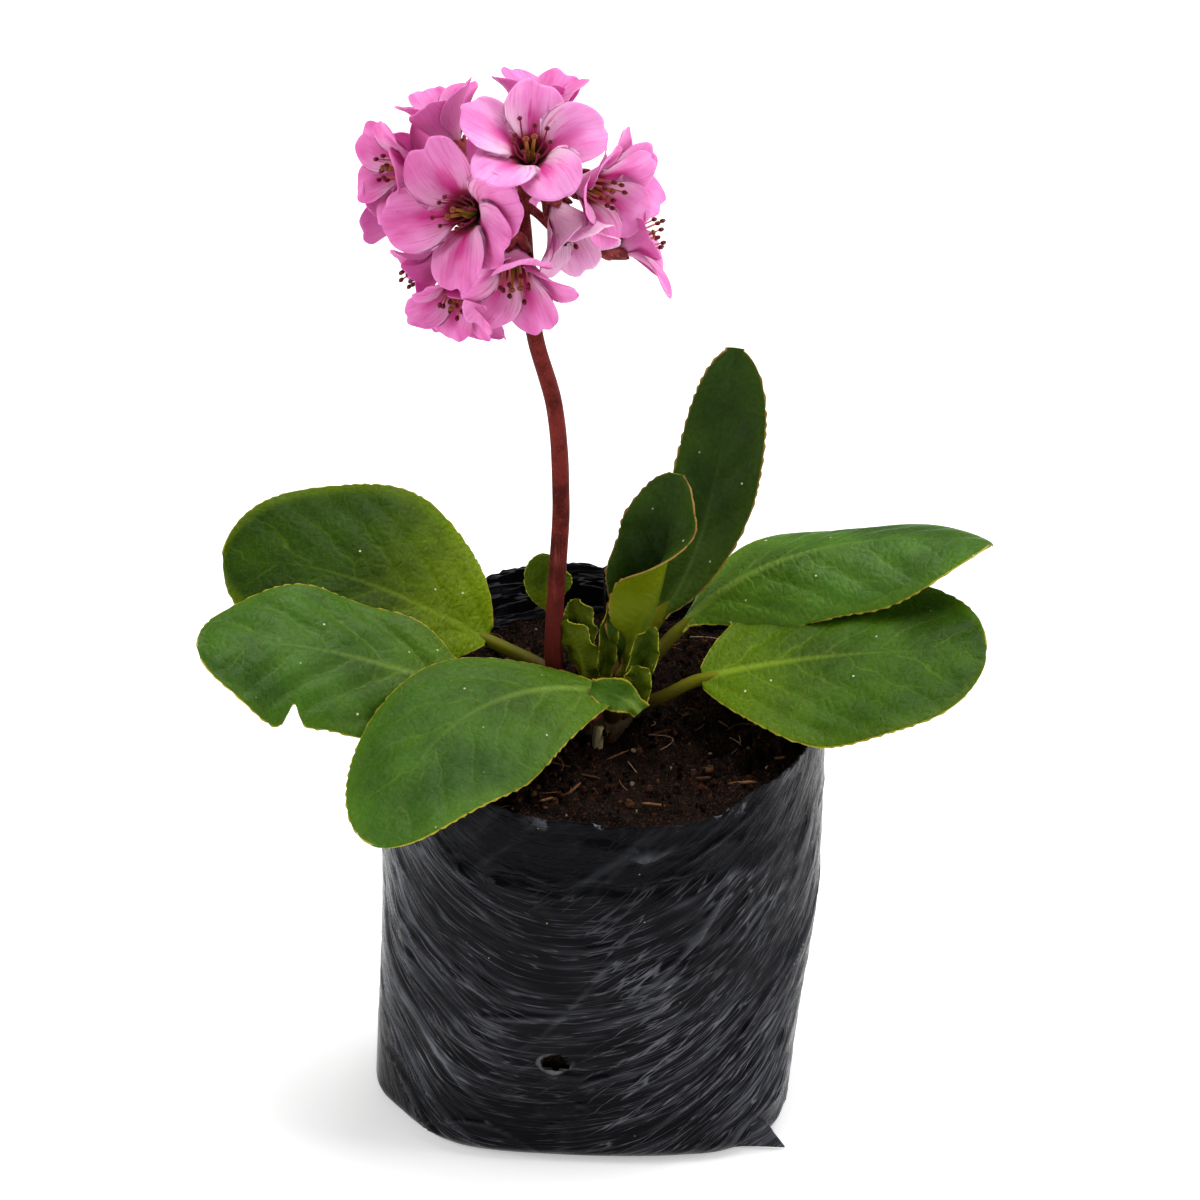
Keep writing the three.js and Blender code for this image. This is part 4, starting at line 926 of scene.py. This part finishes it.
LEAVES = {
    "leaf_back_left": leaf(
        BIG, "aged", [(-5, 5, 85), (-13, 10, 88.5)],
        [(-23, 15, 91.4), (-36, 16, 98.5), (-57, 19, 110), (-78, 26, 104)],
        [(0.25, -0.5, 0.83), (-0.1, -0.6, 0.8)],
        half(19, (8, 0), (0, -10)), half(24, (12, 4), (-6, -30)),
        wave=(1.2, 2.2, 0.1), widest=0.5, girth=2.7),
    "leaf_left": leaf(
        BIG, "cool", [(-6.5, -3, 84), (-15, -5.5, 86.8)],
        [(-24, -5, 90.8), (-40, -6, 92), (-62, -9, 107.6), (-80, -12, 101)],
        [(0.1, -0.35, 0.93), (-0.2, -0.3, 0.95)],
        half(18.2, (-3, -12), (-20, -36), notch=(0.66, 0.03, 0.3)), half(16.5, (13, 8), (-10, -16)),
        wave=(1.3, 2.5, 0.6), pucker=0.95),
    "leaf_front_left": leaf(
        BIG, "cool", [(1.5, -4, 83.5), (2.8, -6, 86.3)],
        [(3.2, -7, 89.5), (-15, -9, 95.5), (-36, -24, 96), (-43, -47, 76.3)],
        [(0.1, -0.2, 0.97), (-0.4, -0.75, 0.5)],
        half(19.5, (8, -4), (-6, -16), taper=0.75), half(16.8, (-3, 0), (-14, -14), taper=1.25),
        wave=(0.8, 2, 0.2),
        also={
            "rows": 60, "columns": 24, "teeth": 1.2,
            "midrib": [(7.6, -9.8, 87.4), (5.4, -10, 90.6), (1.6, -9.6, 91.6), (-2.4, -9, 92.2)],
            "face": [(0.1, -0.8, 0.6), (-0.1, -0.8, 0.6)], "left": half(3.6, (10, 0), (10, 20)),
            "right": half(3.6, (10, 20), (10, 40)),
        }),
    "leaf_right": leaf(
        BIG, "warm", [(4.5, -2, 84.2), (11, -4.5, 87.8)],
        [(19, -5, 92.2), (34, -6, 97), (55, -8, 100.5), (76, -11, 101)],
        [(-0.1, -0.3, 0.95), (0.1, -0.35, 0.93)],
        half(25, (4, 2), (-8, -14)), half(23, (0, 2), (-8, -14)),
        wave=(0.8, 2, 0.8), widest=0.52, girth=2.5),
    "leaf_back_right": leaf(
        BIG, "cool", [(5, 4, 86), (8.5, 7.2, 89)],
        [(14.6, 10, 95.5), (29, 13.5, 113), (55, 16, 116), (78, 8, 116)],
        [(-0.35, -0.3, 0.9), (0, 0, 1)],
        half(16.5, (-6, -10), (-14, -24), taper=1.05), half(16.5, (-26, -6), (-36, -30), taper=1.15),
        wave=(1, 2, 0.3), widest=0.5, girth=2.7),
    "leaf_tall": leaf(
        BIG, "dark", [(2, 7, 87), (6, 9.5, 91)],
        [(11, 12, 98), (22, 14, 112), (24, 19, 132), (26.5, 22, 153)],
        [(-0.4, -0.9, 0.2), (-0.1, -0.98, 0.1)],
        half(8.8, (24, 8), (10, 10)), half(10, (24, 8), (10, 10)),
        wave=(0.7, 2.5, 0.5)),
    "leaf_inner": leaf(
        BIG, "dark", [(1.8, 2.2, 86), (3, 1.6, 87.3)],
        [(4.4, 1.2, 89), (9.4, 1, 103), (14.6, 4.4, 117), (14.6, 4.4, 133)],
        [(-0.35, -0.9, 0.1), (-0.3, -0.95, 0.1)],
        half(11, (14, 6), (20, 10)), half(10.5, (40, 25), (30, 30), taper=1.1, fold=(0.3, 0.86, 112)),
        wave=(1.5, 3.4, 0.2)),
    "leaf_small_behind": leaf(
        SMALL, "young", [(-2.5, 6, 85.5), (-6.5, 10, 92)],
        [(-10.5, 13, 99), (-12, 14, 103), (-12, 14, 108), (-10, 14, 110.5)],
        [(0.1, -0.95, 0.2), (0, -0.9, 0.4)],
        half(4.6, (10, 0), (10, 0)), half(5.4, (10, 0), (20, 10)),
        wave=(0.3, 2, 0.3)),
    "leaf_small_left": leaf(
        SMALL, "young", [(-3, -1, 84.5), (-3.2, -1.2, 85.6)],
        [(-3.2, -1.4, 86.5), (-3, -2, 93), (-4.6, -1.5, 98), (-7.8, -1, 103.5)],
        [(0.3, 0.9, 0.1), (0.2, 0.95, 0.1)],
        half(3.4, (20, 10), (30, 10)), half(4.2, (40, 0), (60, 0)),
        wave=(1.2, 3.5, 0.1),
        also={
            "midrib": [(-3.5, 0.5, 92), (-4.4, 0.8, 97), (-5, 1.2, 102), (-5.4, 1.6, 107)],
            "left": half(3.4, (10, 10), (10, 10)), "right": half(3.2, (0, 0), (-10, 0)),
        }),
    "leaf_small_middle": leaf(
        SMALL, "young", [(-0.2, 0.4, 85.5), (0, 0.5, 87)],
        [(0.2, 0.6, 88), (0.6, 0.8, 93), (0.4, 1.6, 98), (1.6, 2.4, 104)],
        [(0.1, -0.95, 0.1), (0.1, -0.95, 0.2)],
        half(2.6, (20, 10), (60, 60)), half(2.6, (20, 10), (50, 30)),
        wave=(1.0, 3.5, 0.7)),
    "leaf_small_right": leaf(
        SMALL, "young", [(3.6, -0.6, 84.8), (4.8, -0.8, 86)],
        [(5.6, -1, 87), (8, -1.6, 92), (9.6, -2.2, 97), (9.4, -2.6, 102.5)],
        [(-0.2, -0.95, 0.1), (-0.1, -0.95, 0.2)],
        half(4.4, (20, 10), (70, 50)), half(3, (20, 10), (50, 40)),
        wave=(1.5, 3.5, 0.4)),
    "leaf_small_front": leaf(
        SMALL, "young", [(3.6, -3, 83.2), (4.4, -4, 84)],
        [(5, -4.8, 84.8), (6.4, -5.6, 89), (7.4, -5.6, 92), (6.6, -5.2, 95.5)],
        [(0, -0.95, 0.1), (-0.1, -0.95, 0.2)],
        half(3.2, (10, 0), (50, 40)), half(3.4, (10, 0), (50, 30)),
        wave=(1.4, 3.2, 0)),
}


def blade_outline(t, leaf, half):
    widest = leaf.get("widest", WIDEST_AT)
    base = np.sin(np.clip(math.pi / 2 * t / widest, 0, math.pi / 2)) ** half.get("taper", 0.8)
    tip = np.sqrt(np.clip(1 - np.clip((t - widest) / (1 - widest), 0, 1) ** 2.3, 0, 1))
    return np.where(t < widest, base, tip)


def blade_half(leaf, half, t, v, sign, teeth):
    """One half of the blade, v from 0 at the midrib to 1 at the margin."""
    at, along = bezier(leaf["midrib"], t)
    face = lerp(np.array(leaf["face"][0], float), np.array(leaf["face"][1], float), t[..., None])
    up = unit(face - along * (face * along).sum(-1, keepdims=True))
    right = np.cross(along, up)
    lift = np.radians(lerp(half["lift"][0], half["lift"][1], t))
    if "fold" in half:
        low, high, more = half["fold"]
        lift = lift + np.radians(more) * (1 - smooth(low, high, t))
    turn = np.radians(lerp(half["curl"][0], half["curl"][1], t)) / half["width"]
    turn = np.where(np.abs(turn) < 1e-5, 1e-5, turn)
    full = half["width"] * blade_outline(t, leaf, half)
    if "notch" in half:
        place, width, depth = half["notch"]
        full = full * (1 - depth * np.exp(-np.abs((t - place) / width) ** 1.6) * smooth(0.2, 0.9, v))
    full = np.maximum(full, leaf["stalk"] * 0.6)
    reach = v * full + teeth * smooth(0.8, 1, v)
    out = (np.sin(lift + turn * reach) - np.sin(lift)) / turn
    rise = (np.cos(lift) - np.cos(lift + turn * reach)) / turn
    size, count, phase = leaf["wave"]
    rise = rise + size * v * v * np.sin(TAU * (count * t + phase) + (2 if sign < 0 else 0))
    return at + right * (sign * out)[..., None] + up * rise[..., None], full - reach


def blade(body, leaf):
    rows, columns = leaf["rows"], leaf["columns"] // 2
    t = (0.02 + 0.98 * np.sin(math.pi / 2 * steps(rows)) ** 1.1)[:, None]
    spread = steps(columns + 1)
    v = (0.55 * spread + 0.45 * np.sin(math.pi / 2 * spread))[None, :]
    line, _ = bezier(leaf["midrib"], steps(40))
    stretch = float(np.linalg.norm(np.diff(line, axis=0), axis=1).sum())
    parts = []
    for sign, key in ((-1, "left"), (1, "right")):
        half = leaf[key]
        tt = np.broadcast_to(t, (rows, columns + 1))
        vv = np.broadcast_to(v, (rows, columns + 1))
        margin, _ = blade_half(leaf, half, t[:, 0], np.ones(rows), sign, 0.0)
        run = np.concatenate([[0], np.cumsum(np.linalg.norm(np.diff(margin, axis=0), axis=1))])
        phase = run / leaf["teeth"] + 0.9 * noise(run / (2.2 * leaf["teeth"]), 0, sign)
        nick = hump(phase % 1 - 0.5, 0.13)
        depth = 0.16 * leaf["teeth"] * (0.6 + 0.4 * noise(np.floor(phase) * 1.7, 0, 5))
        teeth = (0.04 * leaf["teeth"] * np.sin(TAU * phase) - depth * nick) * smooth(0, 6, run)
        teeth = teeth * smooth(1.0, 0.97, t[:, 0])
        grid, edge = blade_half(leaf, half, tt, vv, sign, teeth[:, None])
        parts.append((grid, np.maximum(edge, 0), sign))
    grid = np.concatenate([parts[0][0][:, :0:-1], parts[1][0]], axis=1)
    edge = np.concatenate([parts[0][1][:, :0:-1], parts[1][1]], axis=1)
    signed = np.concatenate([-v[:, :0:-1], v], axis=1)
    normal = normals_of(grid)
    normal[-4:] = normal[-5]
    gaps = np.linalg.norm(np.diff(grid, axis=1), axis=-1)
    run = np.concatenate([np.zeros((rows, 1)), np.cumsum(gaps, axis=1)], axis=1)
    across = run - run[:, columns:columns + 1]
    along = t * stretch + 0 * across
    lateral = veins_at(leaf, along, across)
    apart = np.abs((lateral + 0.5) % 1 - 0.5)
    scale, fine = leaf["stalk"] / BIG["stalk"], 0.5 * leaf["vein"]
    inside = smooth(0, 0.3, np.abs(signed)) * smooth(0.0, 5.0 * scale, edge)
    swell = np.sin(math.pi * apart) - 0.6 + 0.45 * noise(along / fine, across / fine, 3)
    relief = leaf["pucker"] * swell * inside
    branch = (along - 0.3 * np.abs(across) - 0.3 / leaf["vein"] * across**2) / fine
    groove = 0.45 * scale * hump(across, 1.1 * scale) * (1 - t)
    grid = grid + normal * (relief - groove)[..., None]
    thick = 0.42 * scale + 0.12 + 1.3 * scale * hump(across, 1.2 * scale) * (1 - t) ** 0.8
    thick = thick * (0.55 + 0.45 * smooth(0, 1.2, edge))
    sheet(body, grid, thick, normal, along=along / scale, across=across / scale, edge_mm=edge / scale,
          lateral=lateral, branch=branch + np.where(across < 0, 0.3, 0), leaf_t=t)


def veins_at(leaf, along, across):
    """A number that is whole on the veins that leave the midrib and sweep towards the tip."""
    off = np.abs(across)
    sweep = along - 1.15 * off - 0.11 / leaf["vein"] * off**2
    drift = 0.3 * noise(sweep / (1.6 * leaf["vein"]), np.where(across < 0, 3.3, 7.7), 4)
    return sweep / leaf["vein"] + drift + np.where(across < 0, 0.45, 0) * smooth(0, 1, off)


def leaf_stalk(body, leaf):
    end = np.array(leaf["midrib"][0], float)
    t = np.array([0.16])
    centre, along = bezier(leaf["midrib"], t)
    face = lerp(np.array(leaf["face"][0]), np.array(leaf["face"][1]), 0.16)
    up = unit(face - along[0] * face.dot(along[0]))
    under = centre[0] - up * 0.55
    course = Course([*leaf["petiole"], end, under])
    share = steps(40)
    line = course.at(share)
    start = 1 - np.linalg.norm(end - under) / course.length
    beyond = np.clip((share - start) / (1 - start), 0, 1)
    girth = leaf.get("girth", leaf["stalk"]) * lerp(leaf["sheath"], 1, np.clip(share / start * 1.6, 0, 1))
    radius = lerp(girth, 0.9, beyond) / 2
    groove = 1 - 0.16 * hump(turns(20) - math.pi, 0.5) * smooth(0, 0.4, share)[:, None]
    tube(body, line, radius[:, None] * groove, 20, start=-up, under=0.35, along=-6 + 6 * share, across=0,
         edge_mm=20, lateral=0.5, branch=0.5, leaf_t=0, stalk=1)


def leaves(skins):
    for name, leaf in LEAVES.items():
        body = Body()
        blade(body, leaf)
        if "also" in leaf:
            blade(body, {**leaf, **leaf["also"]})
        leaf_stalk(body, leaf)
        slot = "young_foliage" if "small" in name else "foliage"
        body.piece(name.replace("leaf_", "blade_"), skins[leaf["skin"]], slot, name)


# ---- The flowers

PETALS = 5
STRAIGHT = (0, 0, 0, 0, 0)


def flower(base, look, turn, opened, size, starts, tone, **more):
    """Where a flower stands and looks, its turn, how far it is open, and where its stalk leaves the stem."""
    return {"base": base, "look": look, "turn": turn, "open": opened, "size": size, "from": starts,
            "tone": tone, **more}


FLOWERS = {
    "top_front": flower((-13.9, -8, 202.2), (2, 50), 11, 0.95, 0.93, 0.99, 0.1, wide=6.9),
    "left_front": flower((-24.2, -8.6, 192.6), (-29, 16), 52, 0.97, 1, 0.93, 0.7, wide=7.0,
                         shift=(-34, 0, 2, 18, -2)),
    "right_front": flower((-5.4, -3, 196.6), (50, -3), 30, 0.5, 0.9, 1.0, 0.35),
    "middle_bell": flower((-9.4, -6, 193.8), (38, -42), 12, 0.16, 0.86, 0.93, -0.5),
    "low_front": flower((-16.8, -7.6, 184.9), (2, -34), 12, 0.5, 0.97, 0.89, 0.45),
    "low_left": flower((-27, -4, 178.3), (-16, -34), 44, 0.4, 0.8, 0.76, 0.75),
    "far_right": flower((2.2, 1, 181.8), (94, 18), 19, 1.05, 0.82, 0.92, 0.65, reach=1.12),
    "right_back": flower((-2.5, 10.4, 191), (66, 24), 10, 0.35, 0.85, 0.98, 0.3),
    "left": flower((-34.4, 2.2, 197.9), (-62, 8), 10, 0.5, 0.86, 0.97, 0.7),
    "left_low": flower((-34.0, 5, 188.6), (-100, -2), 50, 0.12, 0.8, 0.9, 0.6),
    "left_under": flower((-29.4, 1, 181.4), (-74, -30), 36, 0.1, 0.66, 0.8, 0.8, reach=1.5),
    "under": flower((-26.6, 8, 175.1), (-20, -75), 30, 0.2, 0.9, 0.74, 0.6),
    "top_left": flower((-28.6, 2, 201.4), (-112, 70), 8, 0.24, 0.85, 1.0, 0.55),
    "top_back": flower((-12.6, 2.6, 203.2), (150, 80), 50, 0.26, 0.9, 1.0, 0.6),
    "back": flower((-20.6, 9, 188.4), (178, 10), 0, 0.6, 0.9, 0.9, 0.4),
    "back_left": flower((-29.6, 7, 193.8), (-125, 14), 26, 0.4, 0.86, 0.97, 0.95),
}
STAMENS = {"count": 8, "length": 11, "pistil": 9.9}
PALE_STAMENS = ("right_front", "low_front", "low_left", "far_right", "middle_bell", "left")


def flower_axes(flower):
    """Rows are the flower's own x, y and z in the plant's frame. Its z is where it looks."""
    round_, up = (math.radians(a) for a in flower["look"])
    z = unit(np.array([math.sin(round_), -math.cos(round_), math.tan(up)]))
    level = unit(np.cross(UP, z))
    turn = math.radians(flower["turn"])
    x = level * math.cos(turn) + np.cross(z, level) * math.sin(turn)
    return np.array([x, np.cross(z, x), z])


def placed(points, flower):
    return (np.asarray(points) * flower["size"]) @ flower_axes(flower) + np.array(flower["base"])


def petal_profile(open_, u):
    """Distance from the axis and height of a petal's middle line, and the way it faces."""
    points = [(1.5, 0.3), (3.4, 4.2), (lerp(4.6, 6.2, open_), lerp(9.5, 8.2, open_)),
              (lerp(7.5, 15, open_), lerp(15.5, 10, open_))]
    return bezier(points, u)


def petal(body, flower, which):
    """A broad petal with a rounded, faintly scalloped end, that laps over its neighbour on one side."""
    rows, cols = 30, 23
    pick = chance(which * 3.3 + 7 * flower["turn"])
    lean = chance(which * 5.1 + 3 * flower["turn"]) - 0.5
    s = steps(rows)[:, None] ** 0.95
    even = np.linspace(-1, 1, cols)[None, :]
    v = 0.55 * np.sin(math.pi / 2 * even) + 0.45 * even
    rounded = (1 - np.abs(v) ** 2.3) ** 0.45
    scallop = 0.04 * noise(2.6 * v + 7 * pick, 0, which) - 0.025 * hump(v, 0.14)
    u = s * (1 - 0.36 * (1 - rounded) + scallop * rounded * s**4)
    v = v + 0 * s
    at, _ = petal_profile(flower["open"] + 0.2 * lean, u)
    r, z = at[..., 0], at[..., 1]
    widest = flower.get("wide", 6.4) * (0.94 + 0.12 * pick)
    wide = lerp(1.05 * math.pi / PETALS * r, np.minimum(widest, 1.5 + r), smooth(0.24, 0.76, u))
    longer = 1 + 0.26 * (chance(which + 7 * flower["turn"]) - 0.5) * np.maximum(0, u - 0.5)
    angle = v * wide / np.maximum(r, 1)
    cone = np.stack([r * np.cos(angle), r * np.sin(angle)], -1)
    plane = np.stack([r, v * wide], -1)
    flat = min(0.8, 0.1 + 0.8 * flower["open"]) * smooth(0.35, 0.9, u)
    plan = lerp(cone, plane, flat[..., None]) * longer[..., None]
    base = TAU * which / PETALS + math.radians(flower.get("shift", STRAIGHT)[which])
    grid = np.stack([*turned(plan[..., 0], plan[..., 1], base), z * longer], -1)
    lap = 0.7 * np.tanh(2 * v) * smooth(0.15, 0.5, u)
    cup = 0.9 * np.where(v > 0, v, 0.3 * v) ** 2 * smooth(0.3, 0.65, u)
    ruffle = 0.16 * np.sin(2.4 * math.pi * v + 6 * pick) * smooth(0.6, 1, u) * (0.4 + np.abs(v))
    ruffle = ruffle + 0.45 * noise(2.2 * u + 9 * pick, 1.3 * v, which) * smooth(0.6, 1, u)
    fold = -0.2 * hump(v, 0.2) * smooth(0.3, 0.6, u) * (1 - smooth(0.75, 1, u))
    ribs = 0.035 * np.sin(15 * v + 4 * pick) * smooth(0.35, 0.6, u)
    recurve = -1.3 * smooth(0.7, 1.0, u) ** 2 * (0.1 + pick)
    shape = grid - normals_of(grid) * (lap + cup + ruffle + fold + ribs + recurve)[..., None]
    shape, u, v = shape[:, ::-1], u[:, ::-1], v[:, ::-1]
    thick = 0.26 * (0.5 + 0.5 * smooth(1.0, 0.9, np.abs(v))) * (0.6 + 0.4 * smooth(1.0, 0.95, s + 0 * v))
    sheet(body, placed(shape, flower), thick * flower["size"], normals_of(shape) @ flower_axes(flower),
          petal_u=u, petal_v=v, petal_pick=pick, tone=flower["tone"])


def filament(body, flower, points, radius, anther, **values):
    line = Course(points).at(steps(12))
    tube(body, placed(line, flower), radius * np.linspace(1.25, 0.8, 12), 6, along=np.linspace(0, 0.96, 12),
         **values)
    axes = flower_axes(flower)
    ball(body, placed(points[-1], flower), np.array(anther), axes, 8, 12, 0.15, 1, along=1.0, **values)


def stamens(body, flower):
    pale = 1.0 if flower["name"] in PALE_STAMENS else 0.0
    spread = lerp(2.4, 4, flower["open"])
    for k in range(STAMENS["count"]):
        angle = TAU * (k + 0.3) / STAMENS["count"] + 0.25 * (chance(k + flower["turn"]) - 0.5)
        long_ = STAMENS["length"] * flower.get("reach", 1) * (0.82 + 0.22 * chance(k + 5 * flower["turn"]))
        out = spread * (0.75 + 0.35 * chance(k + 11 + flower["turn"]))
        way = heading(angle)
        points = [way * 1.2 + UP * 1.6, way * lerp(1.6, out, 0.55) + UP * long_ * 0.5, way * out + UP * long_]
        filament(body, flower, points, 0.19, (0.5, 0.42, 0.6), female=0.0, pale=pale)
    for side in (-1, 1):
        points = [(0.5 * side, 0.1, 3.4), (0.62 * side, 0, 6.2), (0.9 * side, 0.1 * side, STAMENS["pistil"])]
        filament(body, flower, points, 0.34, (0.72, 0.6, 0.4), female=1.0, pale=pale)
        ovary = np.array([0.45 * side, 0, 0]) + UP * np.linspace(0.9, 5.0, 12)[:, None]
        width = np.interp(steps(12), [0, 0.3, 0.7, 1], [0.75, 1.0, 0.6, 0.3])
        tube(body, placed(ovary, flower), width * flower["size"], 12, along=np.linspace(0, 0.7, 12),
             female=1.0, pale=pale)


def flowers():
    skin, inner = petal_skin(), stamen_skin()
    for name, flower in FLOWERS.items():
        flower["name"] = name
        body = Body()
        for which in range(PETALS):
            petal(body, flower, which)
        body.piece(f"bloom_{name}", skin, "petal", f"corolla_{name}")
        middle = Body()
        stamens(middle, flower)
        middle.piece(f"heart_{name}", inner, "stamen", f"stamens_{name}")


# ---- The stem, the flower stalks and the calyces

STEM_PATH = [
    (-7, 1, 84), (-9.7, 0, 92), (-8.3, 0, 130), (-9.6, -1, 150),
    (-13.2, -3, 165), (-15, -3, 182), (-15.3, -2, 196), (-15, -1, 201),
]
STEM_RADIUS = (1.8, 1.55)
STALK_RADIUS = 0.9
CALYX = {"foot": 3.9, "belly": (2.5, 1.7), "lobe": (3.6, 2.6), "notch": (3.2, 0.7)}


def calyx(body, flower):
    """The cup of five sepals that holds the petals."""
    rows, sides = 20, 60
    s = steps(rows)[:, None]
    angle = turns(sides) + math.pi / PETALS
    lobed = np.abs(np.cos(2.5 * (angle - math.pi / PETALS))) ** 0.8
    rim_r = lerp(CALYX["notch"][0], CALYX["lobe"][0], lobed)
    rim_z = lerp(CALYX["notch"][1], CALYX["lobe"][1], lobed)
    r = np.where(s < 0.5, lerp(STALK_RADIUS, CALYX["belly"][0], np.sin(math.pi * np.clip(s, 0, 0.5))),
                 lerp(CALYX["belly"][0], rim_r, smooth(0.5, 1, s)))
    z = np.where(s < 0.5, lerp(-CALYX["foot"], -CALYX["belly"][1], s * 2),
                 lerp(-CALYX["belly"][1], rim_z, (s - 0.5) * 2))
    r = r + 0.08 * np.abs(np.sin(2.5 * angle)) * smooth(0.2, 0.8, s)
    thick = 0.5 * smooth(0.0, 0.3, s) + 0.15
    outer = np.stack([r * np.cos(angle), r * np.sin(angle), z + 0 * angle], -1)
    inner = np.stack([(r - thick) * np.cos(angle), (r - thick) * np.sin(angle), z + 0.05 + 0 * angle], -1)
    both = placed(np.stack([outer, inner]), flower)
    n = rows * sides
    k = np.arange(sides)
    after = (k + 1) % sides
    foot = np.stack([after, k, k + n, after + n], -1)
    faces = quads(rows, sides, wrap=True)
    body.add(both, [faces, faces[:, ::-1] + n, brim(sides, n), foot], along=1.0, sepal=1.0)


def stem():
    body = Body()
    course = Course(STEM_PATH)
    share = steps(150)
    line = course.at(share)
    angle = turns(24)
    ridges = 1 + 0.02 * np.sin(6 * angle) + 0.03 * noise(share[:, None] * 20, angle, 2)
    radius = lerp(*STEM_RADIUS, share) - 0.5 * smooth(0.86, 0.94, share)
    # The stem's top is lightened to the calyx red as painted light, where the flower head shades it.
    tube(body, line, radius[:, None] * ridges, 24, along=share, sepal=0.6 * smooth(0.75, 0.9, share))
    for flower in FLOWERS.values():
        axes = flower_axes(flower)
        size = flower["size"]
        base = np.array(flower["base"])
        start = course.at(flower["from"])
        end = base - axes[2] * CALYX["foot"] * size
        reach = np.linalg.norm(start - end)
        line, _ = bezier([start, lerp(start, end, 0.3) + UP * reach * 0.12, end - axes[2] * reach * 0.35,
                          end + axes[2] * 0.2], steps(22))
        # The stalks are lightened towards the calyx red, partly as painted light where the flower head shades
        # them.
        tube(body, line, STALK_RADIUS * (0.9 + 0.2 * np.linspace(1, 0, 22) ** 3), 12, along=0.8, sepal=0.7)
        calyx(body, flower)
    skin = stalk_skin("red_stem", (0.175, 0.022, 0.018), (0.060, 0.008, 0.006), (0.36, 0.09, 0.07))
    body.piece("red_stem_and_calyces", skin, "red_stem", "flower_stem")


# ---- Light, floor and camera

TARGET = Vector((-0.6, 0, 107.5)) * MM
DISTANCE, ELEVATION, LENS, SENSOR = 900 * MM, math.radians(24.5), 135, 36
FLOOR_REACH, FLOOR_LEVEL = 3000, -0.02


def aimed(thing, place):
    thing.location = place
    thing.rotation_euler = (TARGET - Vector(place)).to_track_quat("-Z", "Y").to_euler()
    bpy.context.collection.objects.link(thing)


def camera():
    data = bpy.data.cameras.new("camera")
    data.lens, data.sensor_width, data.clip_start = LENS, SENSOR, 0.01
    place = TARGET + Vector((0, -math.cos(ELEVATION), math.sin(ELEVATION))) * DISTANCE
    thing = bpy.data.objects.new("camera", data)
    aimed(thing, place)
    bpy.context.scene.camera = thing


def softbox(name, place, size, power):
    data = bpy.data.lights.new(name, "AREA")
    data.shape, data.size, data.size_y, data.energy = "RECTANGLE", size[0], size[1], power
    aimed(bpy.data.objects.new(name, data), place)


def studio():
    world = bpy.data.worlds.new("studio")
    bpy.context.scene.world = world
    world.use_nodes = True
    sky = world.node_tree.nodes["Background"].inputs
    sky["Color"].default_value, sky["Strength"].default_value = (1, 1, 1, 1), 0.2
    softbox("top", (0.25, 0.3, 1.5), (1.2, 1.2), 27)
    softbox("left", (-1.0, -0.3, 0.5), (0.35, 0.9), 5.5)
    softbox("right", (1.0, -0.25, 0.5), (0.3, 0.9), 5)
    bpy.context.scene.view_settings.view_transform = "Standard"


def floor():
    corners = [(x * FLOOR_REACH, y * FLOOR_REACH, FLOOR_LEVEL) for x, y in ((-1, -1), (1, -1), (1, 1), (-1, 1))]
    mesh = bpy.data.meshes.new("floor")
    mesh.from_pydata([Vector(p) * MM for p in corners], [], [(0, 1, 2, 3)])
    s = Shader("floor", Roughness=0.9, Specular_IOR_Level=0.1, Emission_Color=(1, 1, 1, 1),
               Emission_Strength=0.4)
    grain = s.noise(s.place(), 40.0, 2.0)
    mesh.materials.append(s.done(Base_Color=s.mix(grain, (0.93, 0.93, 0.93), (0.95, 0.95, 0.95))))
    thing = bpy.data.objects.new("floor", mesh)
    bpy.context.collection.objects.link(thing)


camera()
studio()
floor()
bag()
soil()
crown()
root()
stem()
leaves({
    "aged": foliage("leaf_aged", (0.022, 0.060, 0.001), (0.010, 0.028, 0.001), (0.240, 0.360, 0.001),
                    (0.17, 0.26, 0.01), (0.085, 0.15, 0.012), (0.36, 0.28, 0.03), sheen_level=0.06),
    # leaf_right's face is darkened, partly its own colour and partly painted shade for the back right leaf's
    # shadow over it.
    "warm": foliage("leaf_warm_painted_shade", (0.038, 0.100, 0.002), (0.013, 0.042, 0.001), (0.120, 0.205, 0.001),
                    (0.22, 0.32, 0.02), (0.085, 0.15, 0.012), (0.42, 0.34, 0.03)),
    # The face of leaf_left, leaf_front_left and leaf_back_right is lighter and bluer, partly its own colour and
    # partly painted sheen.
    "cool": foliage("leaf_cool_painted_sheen", (0.056, 0.155, 0.008), (0.020, 0.068, 0.002), (0.110, 0.215, 0.003),
                    (0.24, 0.36, 0.05), (0.090, 0.17, 0.015), (0.50, 0.38, 0.03), sheen_level=0.15),
    "dark": foliage("leaf_dark", (0.030, 0.066, 0.008), (0.012, 0.030, 0.003), (0.060, 0.115, 0.004),
                    (0.07, 0.13, 0.018), (0.150, 0.190, 0.002), (0.36, 0.19, 0.05)),
    "young": foliage("leaf_young", (0.090, 0.135, 0.002), (0.030, 0.055, 0.001), (0.15, 0.20, 0.001),
                     (0.18, 0.24, 0.008), (0.075, 0.100, 0.002), (0.45, 0.42, 0.04)),
})
flowers()
